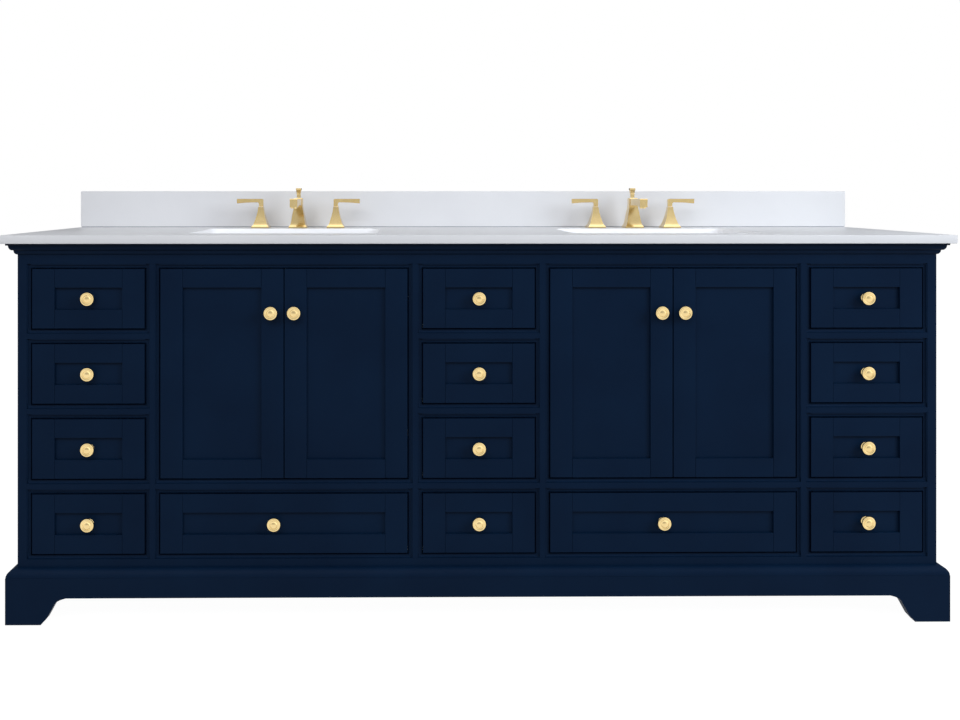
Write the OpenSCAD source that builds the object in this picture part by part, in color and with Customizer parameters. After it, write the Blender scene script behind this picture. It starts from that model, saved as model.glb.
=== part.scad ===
// Double-basin bathroom vanity: an inset-front cabinet with a stone top, backsplash,
// two undermount basins and two widespread faucets.
// Origin: middle of the footprint at floor level. +X to the right, +Y to the wall, +Z up.

/* [Overall] */
// Width of the countertop, end to end
counter_w = 2134; // [2084:2:2194]
// Depth of the countertop, front edge to wall
counter_d = 559; // [550:1:580]
// Thickness of the countertop
counter_t = 19; // [15:1:30]
// Height of the countertop's upper face above the floor
counter_top_z = 871.5; // [865:0.5:890]
// Overhang of the countertop at the front and at both ends
overhang = 30.5; // [28:0.5:40]
// Height of the backsplash above the countertop
splash_h = 100; // [80:5:120]
// Thickness of the backsplash
splash_t = 20; // [15:1:25]

/* [Face frame] */
// Thickness of the face frame
frame_t = 20; // [18:1:22]
// Visible width of each end stile
end_stile_w = 30.5; // [29:0.5:35]
// Distance between two neighbouring openings
bar_w = 32; // [30:1:40]
// Width of each single drawer opening
column_w = 255.2; // [245:0.1:265]
// Height of each drawer opening
row_h = 136.9; // [134:0.1:140]
// Height of the lowest opening above the floor
first_row_z = 152.8; // [150:0.1:156]
// Width of the beading strip around each opening
bead_w = 10; // [9.5:0.5:11]
// Width of the raised nose of the beading strip
bead_nose_w = 8.4; // [8:0.2:8.8]
// Depth of the quirk beside the bead's nose
quirk_depth = 2.5; // [2:0.5:3]

/* [Doors and drawer fronts] */
// Thickness of doors and drawer fronts
front_t = 19; // [18:0.5:19]
// Set-back of the fronts behind the face frame
front_recess = 1; // [0.5:0.5:1]
// Gap around each front
front_gap = 1.6; // [1.5:0.1:2]
// Gap between the two doors of a pair
door_gap = 2; // [1.6:0.1:3]
// Width of the stiles of a front
stile_w = 50; // [45:1:55]
// Width of the rails of a front
rail_w = 42; // [38:1:44]
// Set-back of the panel inside a front
panel_recess = 6.5; // [5:0.5:8]

/* [Drawer boxes and runners] */
// Height of a drawer box
box_h = 100; // [90:1:104]
// Depth of a drawer box
box_d = 450; // [440:5:460]
// Thickness of the drawer box's sides
box_side_t = 12; // [11:1:13]
// Thickness of the drawer bottom
box_bottom_t = 6; // [5:1:8]
// Height of the drawer box above its opening's lower edge
box_lift = 8; // [7:0.5:10]
// Room for a runner on each side of a drawer box
runner_room = 12.7; // [12.5:0.1:13]
// Height of the fixed runner's channel
channel_h = 30; // [28:1:32]

/* [Mouldings and feet] */
// Projection of the crown and the base past the body
moulding_p = 20; // [18:1:22]
// Height of the crown moulding
crown_h = 25; // [22:1:28]
// Height of the base board's upper edge above the floor
base_top_z = 108; // [100:1:110]
// Height of the quarter-round cap on the base
cap_h = 18; // [14:1:20]
// Height of the arch's underside above the floor
arch_z = 63; // [60:1:70]
// Height of a levelling glide
glide_h = 4; // [3:1:6]
// Radius of a levelling glide
glide_r = 15.5; // [13:0.5:18]

/* [Basins and faucets] */
// Distance of each basin from the middle
basin_x = 455; // [445:1:460]
// Width of a basin's cut-out
basin_w = 445; // [420:5:450]
// Depth of a basin's cut-out, front to back
basin_d = 305; // [280:5:310]
// Distance from the countertop's front edge to the cut-out
basin_front = 110; // [105:1:120]
// Corner radius of a basin's cut-out
basin_r = 32; // [20:2:50]
// Depth of a basin below the countertop's underside
basin_depth = 150; // [130:5:160]
// Distance from the countertop's front edge to the faucet line
faucet_front = 474; // [470:1:480]
// Distance of each handle from the spout
handle_spacing = 101.6; // [95:0.1:108]
// Reach of the spout
spout_reach = 120; // [100:5:130]
// Reach of a handle's lever
lever_reach = 65; // [55:1:68]
// Radius of the drain's tailpiece
tailpiece_r = 15.9; // [15.5:0.1:16.5]
// Radius of a handle's supply shank
shank_r = 10.4; // [10:0.1:11]

/* [Hidden] */
$fn = 48;

navy = [0.07, 0.12, 0.21];
plywood = [0.80, 0.68, 0.50];
quartz = [0.90, 0.90, 0.90];
ceramic = [0.96, 0.96, 0.95];
gold = [0.83, 0.68, 0.38];
steel = [0.72, 0.73, 0.75];

// Thickness of the carcass panels, and the open joint that keeps glued boards apart as pieces
panel_t = 18;
seam = 0.2;

// Depth positions
front_y = -counter_d / 2;
back_y = counter_d / 2;
face_y = front_y + overhang;
frame_back_y = face_y + frame_t;
fronts_y = face_y + front_recess;
fronts_back_y = fronts_y + front_t;
back_panel_t = 6;
carcass_back_y = back_y - back_panel_t;
rail_t = 18;

// Heights
carcass_top_z = counter_top_z - counter_t;
side_bottom_z = 72;
floor_bottom_z = 111;
floor_top_z = floor_bottom_z + panel_t;

// Widths and opening positions
body_w = counter_w - 2 * overhang;
pair_w = (body_w - 2 * end_stile_w - 4 * bar_w - 3 * column_w) / 2;
pair_x = column_w / 2 + bar_w + pair_w / 2;
end_x = column_w + 2 * bar_w + pair_w;
inner_bar_x = (column_w + bar_w) / 2;
outer_bar_x = inner_bar_x + pair_w + bar_w;
bar_flat = bar_w - 2 * bead_w;
panel_reveal = (bar_w - panel_t) / 2;
door_opening_h = 3 * row_h + 2 * bar_w;
function row_z(row) = first_row_z + row * (row_h + bar_w);
side_inner_x = body_w / 2 - panel_t;
packer_t = side_inner_x - (end_x + column_w / 2 + panel_reveal);
shelf_top_z = row_z(1);

// Every opening of the face frame: middle x, width, lower edge, height
column_openings = [
    for (x = [-end_x, 0, end_x])
        for (row = [0 : 3])
            [x, column_w, row_z(row), row_h]
];
pair_openings = [
    for (x = [-pair_x, pair_x])
        for (tall = [false, true])
            [x, pair_w, row_z(tall ? 1 : 0), tall ? door_opening_h : row_h]
];
openings = concat(column_openings, pair_openings);

// Doors
door_w = (pair_w - 2 * front_gap - door_gap) / 2;
hinge_cup_r = 17.5;
hinge_cup_depth = 12.5;
hinge_cup_inset = 22.5;
hinge_from_end = 80;

// Knobs
knob_face_r = 15.2;
knob_len = 22;
knob_stem_r = 7;
screw_r = 2;
screw_hole_r = 2.3;
screw_bite = 10;
screw_head_r = 4.5;
screw_head_t = 2.5;
door_knob_drop = 98.5;
door_knob_shift = -2.5;
wide_knob_shift = -22;

// Runners, measured from the partition's face and from the drawer box's lower edge
steel_t = 1.2;
channel_d = 7.2;
channel_bottom = -26.6;
moving_gap = 0.5;
roller_z = channel_bottom + channel_h / 2;
front_roller_r = 10;
rear_roller_r = 13.2;
roller_t = 4.4;
stud_r = 3;
runner_y = fronts_back_y + 1;

// Basins
basin_y = front_y + basin_front + basin_d / 2;
basin_wall = 10;
basin_flange = 25;
basin_floor_z = carcass_top_z - basin_depth;
basin_taper = 14;
drain_y = basin_y + 47;
drain_hole_r = 22;

// Drain and its linkage
drain_body_r = 20.5;
drain_bore_r = 16.5;
drain_body_h = 80;
flange_t = 2.5;
pivot_z = basin_floor_z - 62;
pivot_y = drain_y + 22;
stopper_lift = 5.6;
collar_r = 9;
collar_bore_r = 6.2;
ball_r = 5.5;
pivot_rod_r = 2;

// Faucets
faucet_y = front_y + faucet_front;
lift_rod_y = faucet_y + 6;
lift_rod_r = 2.5;
pivot_reach = lift_rod_y - pivot_y;
counter_hole_r = 16;
spout_base = 49;
handle_base = 47;
handle_h = 57;
lever_z = 66.5;
lever_h = 12.5;
spout_h = 81;
lift_knob_top = 108;
shank_tail = 30;

// A box between two opposite corners
module board(lo, hi) {
    translate(lo)
        cube(hi - lo);
}

// An outline drawn in X and Z, given a thickness from y0 to y1
module upright(y0, y1) {
    translate([0, y1, 0])
        rotate([90, 0, 0])
            linear_extrude(height = y1 - y0)
                children();
}

// An outline drawn in Y and Z, given a length from x0 to x1
module lengthwise(x0, x1) {
    translate([x0, 0, 0])
        rotate([90, 0, 90])
            linear_extrude(height = x1 - x0)
                children();
}

// A solid whose every level is a square: its half-width follows the outline
module flared_square(outline) {
    half = concat(outline, [for (i = [len(outline) - 1 : -1 : 0]) [-outline[i][0], outline[i][1]]]);
    intersection() {
        rotate([90, 0, 0])
            linear_extrude(height = 100, center = true)
                polygon(half);
        rotate([90, 0, 90])
            linear_extrude(height = 100, center = true)
                polygon(half);
    }
}

// ---- Face frame ----
module face_frame() {
    color(navy) {
        top_z = row_z(3) + row_h + bead_w;
        bottom_z = row_z(0) - bead_w;
        inner = body_w / 2 - end_stile_w + bead_w;
        for (s = [-1, 1])
            mirror([s < 0 ? 1 : 0, 0, 0])
                board([inner, face_y, side_bottom_z], [body_w / 2, frame_back_y - seam, carcass_top_z]);
        board([-inner + seam, face_y, top_z], [inner - seam, frame_back_y - seam, carcass_top_z]);
        board([-inner + seam, face_y, side_bottom_z], [inner - seam, frame_back_y - seam, bottom_z]);
        for (x = [-outer_bar_x, -inner_bar_x, inner_bar_x, outer_bar_x])
            board([x - bar_flat / 2, face_y, bottom_z + seam],
                  [x + bar_flat / 2, frame_back_y - seam, top_z - seam]);
        for (x = [-end_x, 0, end_x])
            for (row = [1 : 3])
                cross_rail(x, column_w, row);
        for (x = [-pair_x, pair_x])
            cross_rail(x, pair_w, 1);
    }
}

module cross_rail(x, w, row) {
    reach = w / 2 + bead_w - seam;
    z = row_z(row) - bar_w / 2;
    board([x - reach, face_y, z - bar_flat / 2], [x + reach, frame_back_y - seam, z + bar_flat / 2]);
}

// ---- Beading: four mitred strips in each opening ----
module mitred_strip(length, w) {
    polygon([
        [-length / 2 + seam, 0],
        [length / 2 - seam, 0],
        [length / 2 + w - seam, -w],
        [-length / 2 - w + seam, -w]
    ]);
}

module bead_side(length) {
    upright(face_y + quirk_depth, frame_back_y - seam)
        mitred_strip(length, bead_w);
    upright(face_y, face_y + quirk_depth)
        mitred_strip(length, bead_nose_w);
}

module face_frame_beading() {
    color(navy)
        for (o = openings)
            translate([o[0], 0, o[2] + o[3] / 2])
                for (side = [0 : 3])
                    rotate([0, side * 90, 0])
                        translate([0, 0, side % 2 == 0 ? -o[3] / 2 : -o[1] / 2])
                            bead_side(side % 2 == 0 ? o[1] : o[3]);
}

// ---- Carcass ----
module side_panels_and_partitions() {
    color(plywood) {
        for (s = [-1, 1])
            mirror([s < 0 ? 1 : 0, 0, 0]) {
                board([side_inner_x, frame_back_y, side_bottom_z], [body_w / 2, back_y, carcass_top_z]);
                for (row = [0 : 3])
                    runner_packer(row);
                for (x = [inner_bar_x, outer_bar_x])
                    board([x - panel_t / 2, frame_back_y, floor_top_z + seam],
                          [x + panel_t / 2, carcass_back_y - seam, carcass_top_z]);
            }
    }
}

// A strip that brings a fixed runner in from the side panel to the opening
module runner_packer(row) {
    z = row_z(row) + box_lift + channel_bottom;
    board([side_inner_x - packer_t, runner_y, z],
          [side_inner_x - seam, runner_y + box_d, z + channel_h]);
}

module cabinet_floor_and_shelves() {
    color(plywood) {
        board([-side_inner_x + seam, frame_back_y, floor_bottom_z],
              [side_inner_x - seam, carcass_back_y - seam, floor_top_z]);
        for (s = [-1, 1])
            mirror([s < 0 ? 1 : 0, 0, 0])
                board([inner_bar_x + panel_t / 2 + seam, frame_back_y, shelf_top_z - panel_t],
                      [outer_bar_x - panel_t / 2 - seam, carcass_back_y - seam, shelf_top_z]);
    }
}

// Bays between the uprights: left face and right face of each
bays = [
    [-side_inner_x, -outer_bar_x - panel_t / 2],
    [-outer_bar_x + panel_t / 2, -inner_bar_x - panel_t / 2],
    [-inner_bar_x + panel_t / 2, inner_bar_x - panel_t / 2],
    [inner_bar_x + panel_t / 2, outer_bar_x - panel_t / 2],
    [outer_bar_x + panel_t / 2, side_inner_x]
];

// Half the width of the gap in the back of each sink bay, where the pipes come from the wall
pipe_gap_half = 180;

// The back panel's left and right limits: whole behind the drawer bays, two strips behind each sink bay
back_spans = [
    [-side_inner_x + seam, bays[0][1] + panel_t / 2],
    [bays[1][0] - panel_t / 2 + seam, -pair_x - pipe_gap_half],
    [-pair_x + pipe_gap_half, bays[1][1] + panel_t / 2 - seam],
    [bays[2][0] - panel_t / 2, bays[2][1] + panel_t / 2],
    [bays[3][0] - panel_t / 2 + seam, pair_x - pipe_gap_half],
    [pair_x + pipe_gap_half, bays[3][1] + panel_t / 2 - seam],
    [bays[4][0] - panel_t / 2, side_inner_x - seam]
];

module back_panels_and_stretchers() {
    front_rail_h = 40;
    wall_rail_h = [80, 120, 80, 120, 80];
    foot_rail_h = 55;
    color(plywood) {
        for (span = back_spans)
            board([span[0], carcass_back_y, floor_bottom_z], [span[1], back_y, carcass_top_z]);
        for (i = [0 : 4]) {
            board([bays[i][0] + seam, frame_back_y, carcass_top_z - front_rail_h],
                  [bays[i][1] - seam, frame_back_y + rail_t, carcass_top_z]);
            board([bays[i][0] + seam, carcass_back_y - rail_t - seam, carcass_top_z - wall_rail_h[i]],
                  [bays[i][1] - seam, carcass_back_y - seam, carcass_top_z]);
        }
        for (i = [1, 3])
            board([bays[i][0] + seam, carcass_back_y - rail_t - seam, floor_top_z + seam],
                  [bays[i][1] - seam, carcass_back_y - seam, floor_top_z + foot_rail_h]);
    }
}

// ---- Mouldings ----
// Runs an outline, drawn as [projection, height], along the front and both sides with mitres
module wrap_moulding(outline) {
    front_outline = [for (p = outline) [face_y - p[0], p[1]]];
    side_outline = [for (p = outline) [body_w / 2 + p[0], p[1]]];
    corner = body_w / 2;
    tip = moulding_p + 1;
    intersection() {
        lengthwise(-corner - tip, corner + tip)
            polygon(front_outline);
        linear_extrude(height = counter_top_z)
            polygon([
                [-corner - tip + seam, face_y - tip],
                [corner + tip - seam, face_y - tip],
                [corner - seam, face_y],
                [-corner + seam, face_y]
            ]);
    }
    for (s = [-1, 1])
        mirror([s < 0 ? 1 : 0, 0, 0])
            intersection() {
                upright(face_y - tip, back_y)
                    polygon(side_outline);
                linear_extrude(height = counter_top_z)
                    polygon([
                        [corner, face_y],
                        [corner + tip, face_y - tip],
                        [corner + tip, back_y],
                        [corner, back_y]
                    ]);
            }
}

// Points on an elliptical arc about a centre
function arc(centre, rx, ry, from, to, steps) = [
    for (i = [0 : steps])
        let (a = from + (to - from) * i / steps)
            [centre[0] + rx * cos(a), centre[1] + ry * sin(a)]
];

// The crown: a fillet, a large ovolo and a small ovolo
fillet_h = 4;
ovolo_out = moulding_p - 4.5;
ovolo_in = 8.5;
ovolo_h = 11.2;
ovolo_low_z = carcass_top_z - fillet_h - ovolo_h;
step_h = 0.2;
small_out = 6.8;
small_in = 0.6;
small_h = crown_h - fillet_h - ovolo_h - step_h;
crown_outline = concat(
    [[0, carcass_top_z], [moulding_p, carcass_top_z], [moulding_p, ovolo_low_z + ovolo_h]],
    arc([ovolo_in, ovolo_low_z + ovolo_h], ovolo_out - ovolo_in, ovolo_h, 0, -90, 6),
    arc([small_in, ovolo_low_z - step_h], small_out - small_in, small_h, 0, -90, 5),
    [[0, carcass_top_z - crown_h]]
);
cap_outline = concat([[0, base_top_z]], arc([0, base_top_z], moulding_p - 0.5, cap_h, 0, 90, 8));

module crown_and_cap_mouldings() {
    color(navy) {
        wrap_moulding(crown_outline);
        wrap_moulding(cap_outline);
    }
}

// ---- Base ----
// Half outline of a bracket foot: [distance from the outer edge, height above the floor]
foot_flat = 79;
foot_curve = [
    for (i = [0 : 6])
        let (t = i / 6)
            (1 - t) * (1 - t) * [110, glide_h + 46.5]
            + 2 * t * (1 - t) * [115, arch_z - 4.5]
            + t * t * [135, arch_z]
];
foot_outline = concat([[foot_flat, glide_h], [92, glide_h + 14], [104, glide_h + 36]], foot_curve);

// A board with a bracket foot at each end, from a to b
module footed_outline(a, b) {
    top_z = base_top_z - seam;
    left = [for (p = foot_outline) [a + p[0], p[1]]];
    right = [for (i = [len(foot_outline) - 1 : -1 : 0]) [b - foot_outline[i][0], foot_outline[i][1]]];
    polygon(concat([[b, glide_h], [b, top_z], [a, top_z], [a, glide_h]], left, right));
}

module base_plinth() {
    outer = body_w / 2 + moulding_p;
    color(navy) {
        upright(face_y - moulding_p, face_y - seam)
            footed_outline(-outer, outer);
        for (s = [-1, 1])
            mirror([s < 0 ? 1 : 0, 0, 0])
                lengthwise(body_w / 2 + seam, outer)
                    footed_outline(face_y, back_y);
    }
}

// Middles of the corner glides and of the hidden legs' glides
glide_inset = 26;
corner_x = body_w / 2 + moulding_p - glide_inset;
corner_ys = [face_y - moulding_p + glide_inset, back_y - glide_inset];
leg_ys = [-75, 225];
leg_w = 50;
block_x = body_w / 2 + moulding_p - foot_flat + 3;
block_d = 57;
stem_r = 4;
stem_len = 45;

module glide(x, y) {
    translate([x, y, 0]) {
        cylinder(r = glide_r, h = glide_h - seam);
        cylinder(r = stem_r, h = glide_h + stem_len);
    }
}

module glide_hole(x, y) {
    translate([x, y, glide_h - 1])
        cylinder(r = stem_r + 0.3, h = stem_len + 4);
}

module levelling_feet() {
    block_spans = [[face_y + seam, face_y + block_d], [back_y - block_d, back_y - seam]];
    for (s = [-1, 1])
        mirror([s < 0 ? 1 : 0, 0, 0])
            for (i = [0, 1]) {
                color(plywood)
                    difference() {
                        board([block_x, block_spans[i][0], glide_h],
                              [body_w / 2 - seam, block_spans[i][1], side_bottom_z - seam]);
                        glide_hole(corner_x, corner_ys[i]);
                    }
                color(plywood)
                    difference() {
                        board([inner_bar_x - leg_w / 2, leg_ys[i] - leg_w / 2, glide_h],
                              [inner_bar_x + leg_w / 2, leg_ys[i] + leg_w / 2, floor_bottom_z - seam]);
                        glide_hole(inner_bar_x, leg_ys[i]);
                    }
                color(gold) {
                    glide(corner_x, corner_ys[i]);
                    glide(inner_bar_x, leg_ys[i]);
                }
            }
}

// ---- Countertop, backsplash and basins ----
module rounded_box(w, d, r, z0, z1) {
    translate([0, 0, z0])
        linear_extrude(height = z1 - z0)
            union() {
                square([w - 2 * r, d], center = true);
                square([w, d - 2 * r], center = true);
                for (x = [-1, 1])
                    for (y = [-1, 1])
                        translate([x * (w / 2 - r), y * (d / 2 - r)])
                            circle(r = r);
            }
}

module countertop() {
    color(quartz)
        difference() {
            board([-counter_w / 2, front_y, carcass_top_z + seam], [counter_w / 2, back_y, counter_top_z]);
            for (s = [-1, 1]) {
                translate([s * basin_x, basin_y, 0])
                    rounded_box(basin_w, basin_d, basin_r, carcass_top_z - 1, counter_top_z + 1);
                for (dx = [-handle_spacing, 0, handle_spacing])
                    translate([s * basin_x + dx, faucet_y, carcass_top_z - 1])
                        cylinder(r = counter_hole_r, h = counter_t + 2);
            }
        }
}

module backsplash() {
    color(quartz)
        board([-counter_w / 2, back_y - splash_t, counter_top_z + seam],
              [counter_w / 2, back_y, counter_top_z + splash_h]);
}

// One basin: a flange, four walls and a floor, in three stepped levels
module basin() {
    top_z = carcass_top_z;
    step_z = basin_floor_z + 45;
    difference() {
        union() {
            rounded_box(basin_w + 2 * basin_flange, basin_d + 2 * basin_flange, basin_r + 10, top_z - 12, top_z);
            rounded_box(basin_w + 2 * basin_wall, basin_d + 2 * basin_wall, basin_r + 8, step_z, top_z - 6);
            rounded_box(basin_w + 2 * (basin_wall - basin_taper), basin_d + 2 * (basin_wall - basin_taper),
                        basin_r + 4, basin_floor_z - 12, step_z + 1);
        }
        rounded_box(basin_w + 4, basin_d + 4, basin_r + 2, step_z + 6, top_z + 1);
        rounded_box(basin_w - 2 * basin_taper, basin_d - 2 * basin_taper, basin_r, basin_floor_z, step_z + 7);
        translate([0, drain_y - basin_y, basin_floor_z - 20])
            cylinder(r = drain_hole_r, h = 30);
    }
}

module sink_basins() {
    color(ceramic)
        for (s = [-1, 1])
            translate([s * basin_x, basin_y, 0])
                basin();
}

// ---- Drains ----
module drain_fitting() {
    nut_r = 32;
    nut_h = 10;
    tail_top_z = basin_floor_z - drain_body_h;
    tail_len = 92;
    difference() {
        union() {
            translate([0, 0, basin_floor_z + seam])
                cylinder(r = 29, h = flange_t);
            translate([0, 0, basin_floor_z - drain_body_h])
                cylinder(r = drain_body_r, h = drain_body_h + 1);
            translate([0, 0, pivot_z])
                rotate([-90, 0, 0])
                    cylinder(r = collar_r, h = 33);
        }
        translate([0, 0, tail_top_z - 1])
            cylinder(r = drain_bore_r, h = drain_body_h + 10);
        translate([0, 0, pivot_z])
            rotate([-90, 0, 0])
                cylinder(r = collar_bore_r, h = 40);
    }
    difference() {
        translate([0, 0, basin_floor_z - 12 - seam - nut_h])
            cylinder(r = nut_r, h = nut_h);
        translate([0, 0, basin_floor_z - 40])
            cylinder(r = drain_body_r + seam, h = 40);
    }
    difference() {
        union() {
            translate([0, 0, tail_top_z - tail_len])
                cylinder(r = tailpiece_r, h = tail_len - 2);
            translate([0, 0, tail_top_z - 3])
                cylinder(r = tailpiece_r - 0.4, h = 15);
        }
        translate([0, 0, tail_top_z - tail_len - 1])
            cylinder(r = tailpiece_r - 1.5, h = tail_len + 20);
    }
}

module drain_fittings() {
    color(gold)
        for (s = [-1, 1])
            translate([s * basin_x, drain_y, 0])
                drain_fitting();
}

module stopper(x) {
    cap_z = basin_floor_z + seam + flange_t + stopper_lift;
    stem_bottom_z = pivot_z + pivot_rod_r + 1.2;
    color(gold)
        translate([x, drain_y, 0]) {
            translate([0, 0, cap_z])
                rotate_extrude()
                    polygon(concat([[0, 0]], arc([0, 0], 20, 5, 0, 90, 6)));
            translate([0, 0, stem_bottom_z])
                cylinder(r = 4, h = cap_z - stem_bottom_z + 1);
        }
}

// The ball rod that joins the lift rod's strap to the stopper
module pivot_rod(x) {
    color(steel)
        translate([x, pivot_y, pivot_z]) {
            sphere(r = ball_r);
            translate([0, -24, 0])
                rotate([-90, 0, 0])
                    cylinder(r = pivot_rod_r, h = pivot_reach + 24 + 14);
        }
}

// The lift rod: knob above the spout, rod through the spout and strap below the countertop
module lift_rod(x) {
    knob_h = 25.5;
    rod_bottom_z = 735;
    strap_bottom_z = pivot_z - 12;
    strap_t = 1.6;
    knob_z = counter_top_z + lift_knob_top - knob_h;
    color(gold)
        translate([x, lift_rod_y, 0]) {
            translate([0, 0, knob_z])
                flared_square([[5.5, 0], [5.2, 4], [5.4, 12], [6.2, 18], [7.2, 22], [7.2, knob_h]]);
            translate([0, 0, rod_bottom_z])
                cylinder(r = lift_rod_r, h = knob_z - rod_bottom_z + 1);
            board([-6, -4, rod_bottom_z - 2], [6, 4, rod_bottom_z + 12]);
            difference() {
                board([-7, -strap_t / 2, strap_bottom_z], [7, strap_t / 2, rod_bottom_z]);
                board([-3, -5, pivot_z - 5], [3, 5, pivot_z + 5]);
            }
        }
}

// ---- Faucets ----
handle_outline = [
    [0, 0], [handle_base / 2, 0], [handle_base / 2, 4], [handle_base / 2 - 2, 6],
    [19.5, 9], [16.5, 17], [12.5, 28], [9.5, 40], [7.5, handle_h - 5], [7, handle_h], [0, handle_h]
];
spout_outline = [
    [0, 0], [spout_base / 2, 0], [spout_base / 2, 4], [spout_base / 2 - 2, 6],
    [20.5, 11], [18, 22], [15.5, 38], [12.5, 52], [11.5, 62], [11.5, spout_h - 2], [10, spout_h], [0, spout_h]
];

// A tube that hangs from the countertop's upper face; its last stretch is the full radius r
module hollow_shank(r, bore_r, length) {
    difference() {
        union() {
            translate([0, 0, counter_top_z - length])
                cylinder(r = r, h = shank_tail);
            translate([0, 0, counter_top_z - length + 1])
                cylinder(r = r - 0.4, h = length - 1 + seam);
        }
        translate([0, 0, counter_top_z - length - 1])
            cylinder(r = bore_r, h = length);
    }
}

module shank_nut(r) {
    nut_t = 8;
    difference() {
        translate([0, 0, carcass_top_z - nut_t - seam])
            cylinder(r = 22, h = nut_t);
        translate([0, 0, carcass_top_z - 20])
            cylinder(r = r + seam, h = 40);
    }
}

module handle_body() {
    translate([0, 0, counter_top_z + seam])
        flared_square(handle_outline);
    hollow_shank(shank_r, shank_r - 3, 75);
    shank_nut(shank_r);
}

module spout_body() {
    tip_w = 20;
    tip_drop = 22;
    aerator_r = 8;
    difference() {
        union() {
            translate([0, 0, counter_top_z + seam])
                flared_square(spout_outline);
            translate([0, 0, counter_top_z + seam])
                lengthwise(-tip_w / 2, tip_w / 2)
                    polygon([
                        [5, spout_h - 1], [5, spout_h - 20],
                        [-spout_reach + 20, spout_h - 19], [-spout_reach, spout_h - 2 - tip_drop],
                        [-spout_reach, spout_h - 2]
                    ]);
            translate([0, -spout_reach + 11, counter_top_z + spout_h - 27])
                cylinder(r = aerator_r, h = 10);
            hollow_shank(14, 11, 60);
        }
        translate([0, lift_rod_y - faucet_y, counter_top_z - 1])
            cylinder(r = lift_rod_r + 0.6, h = spout_h + 5);
        translate([0, lift_rod_y - faucet_y, counter_top_z - 1])
            cylinder(r = 4.2, h = 45);
    }
    shank_nut(14);
}

module faucet_bodies() {
    color(gold)
        for (s = [-1, 1])
            translate([s * basin_x, faucet_y, 0]) {
                spout_body();
                for (dx = [-handle_spacing, handle_spacing])
                    translate([dx, 0, 0])
                        handle_body();
            }
}

// A lever handle that points along +X or -X
module lever(x, dir) {
    hub_gap = 0.4;
    color(gold)
        translate([x, faucet_y, counter_top_z])
            mirror([dir < 0 ? 1 : 0, 0, 0]) {
                translate([0, 0, handle_h + seam + hub_gap])
                    cylinder(r = 8, h = lever_z - handle_h - seam);
                translate([0, 0, lever_z])
                    lengthwise(-9, lever_reach)
                        polygon([[-6, 0], [6, 0], [6, lever_h - 1], [5, lever_h], [-5, lever_h], [-6, lever_h - 1]]);
            }
}

// ---- Fronts ----
module panelled_front(x0, x1, z0, z1) {
    y0 = fronts_y;
    y1 = fronts_back_y;
    board([x0, y0, z0], [x0 + stile_w, y1, z1]);
    board([x1 - stile_w, y0, z0], [x1, y1, z1]);
    for (z = [z0, z1 - rail_w])
        board([x0 + stile_w + seam, y0, z], [x1 - stile_w - seam, y1, z + rail_w]);
    board([x0 + stile_w + seam, y0 + panel_recess, z0 + rail_w + seam],
          [x1 - stile_w - seam, y1, z1 - rail_w - seam]);
}

// A hole or a rod along Y
module along_y(x, y0, y1, z, r) {
    translate([x, y0, z])
        rotate([-90, 0, 0])
            cylinder(r = r, h = y1 - y0);
}

// A turned knob that stands out from the surface at y, with the screw that holds it
module knob(x, y, z, screw_end_y) {
    translate([x, y - seam / 2, z])
        rotate([90, 0, 0])
            difference() {
                rotate_extrude()
                    polygon([
                        [0, 0], [10.5, 0], [10.5, 1.8], [knob_stem_r, 5], [knob_stem_r, 8], [10, 11.6],
                        [knob_face_r - 1, 13.4], [knob_face_r, 15], [knob_face_r, 17.2], [knob_face_r - 2, 19.2],
                        [knob_face_r - 5, 19.5], [7.5, 21.4], [0, knob_len]
                    ]);
                translate([0, 0, -1])
                    cylinder(r = screw_hole_r, h = screw_bite + 1.5);
            }
    along_y(x, y - screw_bite, screw_end_y, z, screw_r);
    along_y(x, screw_end_y + seam / 2, screw_end_y + screw_head_t, z, screw_head_r);
    along_y(x, screw_end_y - 1, screw_end_y + 1, z, screw_r);
}

// ---- Drawers ----
function box_half(w) = w / 2 + panel_reveal - runner_room;
box_y0 = fronts_back_y + seam;
box_y1 = box_y0 + box_d;

module drawer(x, w, row, knob_dx = 0) {
    z = row_z(row);
    box_z = z + box_lift;
    half = box_half(w);
    inner = half - box_side_t - seam;
    knob_z = z + row_h / 2;
    color(navy)
        difference() {
            panelled_front(x - w / 2 + front_gap, x + w / 2 - front_gap, z + front_gap, z + row_h - front_gap);
            along_y(x + knob_dx, fronts_y - 1, fronts_back_y + 1, knob_z, screw_hole_r);
        }
    color(plywood) {
        for (s = [-1, 1])
            translate([x, 0, 0])
                mirror([s < 0 ? 1 : 0, 0, 0])
                    board([half - box_side_t, box_y0, box_z], [half, box_y1, box_z + box_h]);
        difference() {
            board([x - inner, box_y0, box_z], [x + inner, box_y0 + box_side_t, box_z + box_h]);
            along_y(x + knob_dx, box_y0 - 1, box_y0 + box_side_t + 1, knob_z, screw_hole_r);
        }
        board([x - inner, box_y1 - box_side_t, box_z], [x + inner, box_y1, box_z + box_h]);
        board([x - inner, box_y0 + box_side_t + seam, box_z + box_bottom_t],
              [x + inner, box_y1 - box_side_t - seam, box_z + 2 * box_bottom_t]);
    }
}

module drawer_hardware(x, w, row, knob_dx = 0) {
    color(gold)
        knob(x + knob_dx, fronts_y + panel_recess, row_z(row) + row_h / 2, box_y0 + box_side_t);
    color(steel)
        both_sides(x, w, row)
            moving_runner();
}

// Places a runner against the uprights on both sides of a drawer
module both_sides(x, w, row) {
    for (s = [-1, 1])
        translate([x, 0, 0])
            mirror([s < 0 ? 0 : 1, 0, 0])
                translate([-w / 2 - panel_reveal, runner_y, row_z(row) + box_lift])
                    children();
}

// A shaft along X
module along_x(x0, x1, y, r) {
    translate([x0, y, roller_z])
        rotate([0, 90, 0])
            cylinder(r = r, h = x1 - x0);
}

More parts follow.
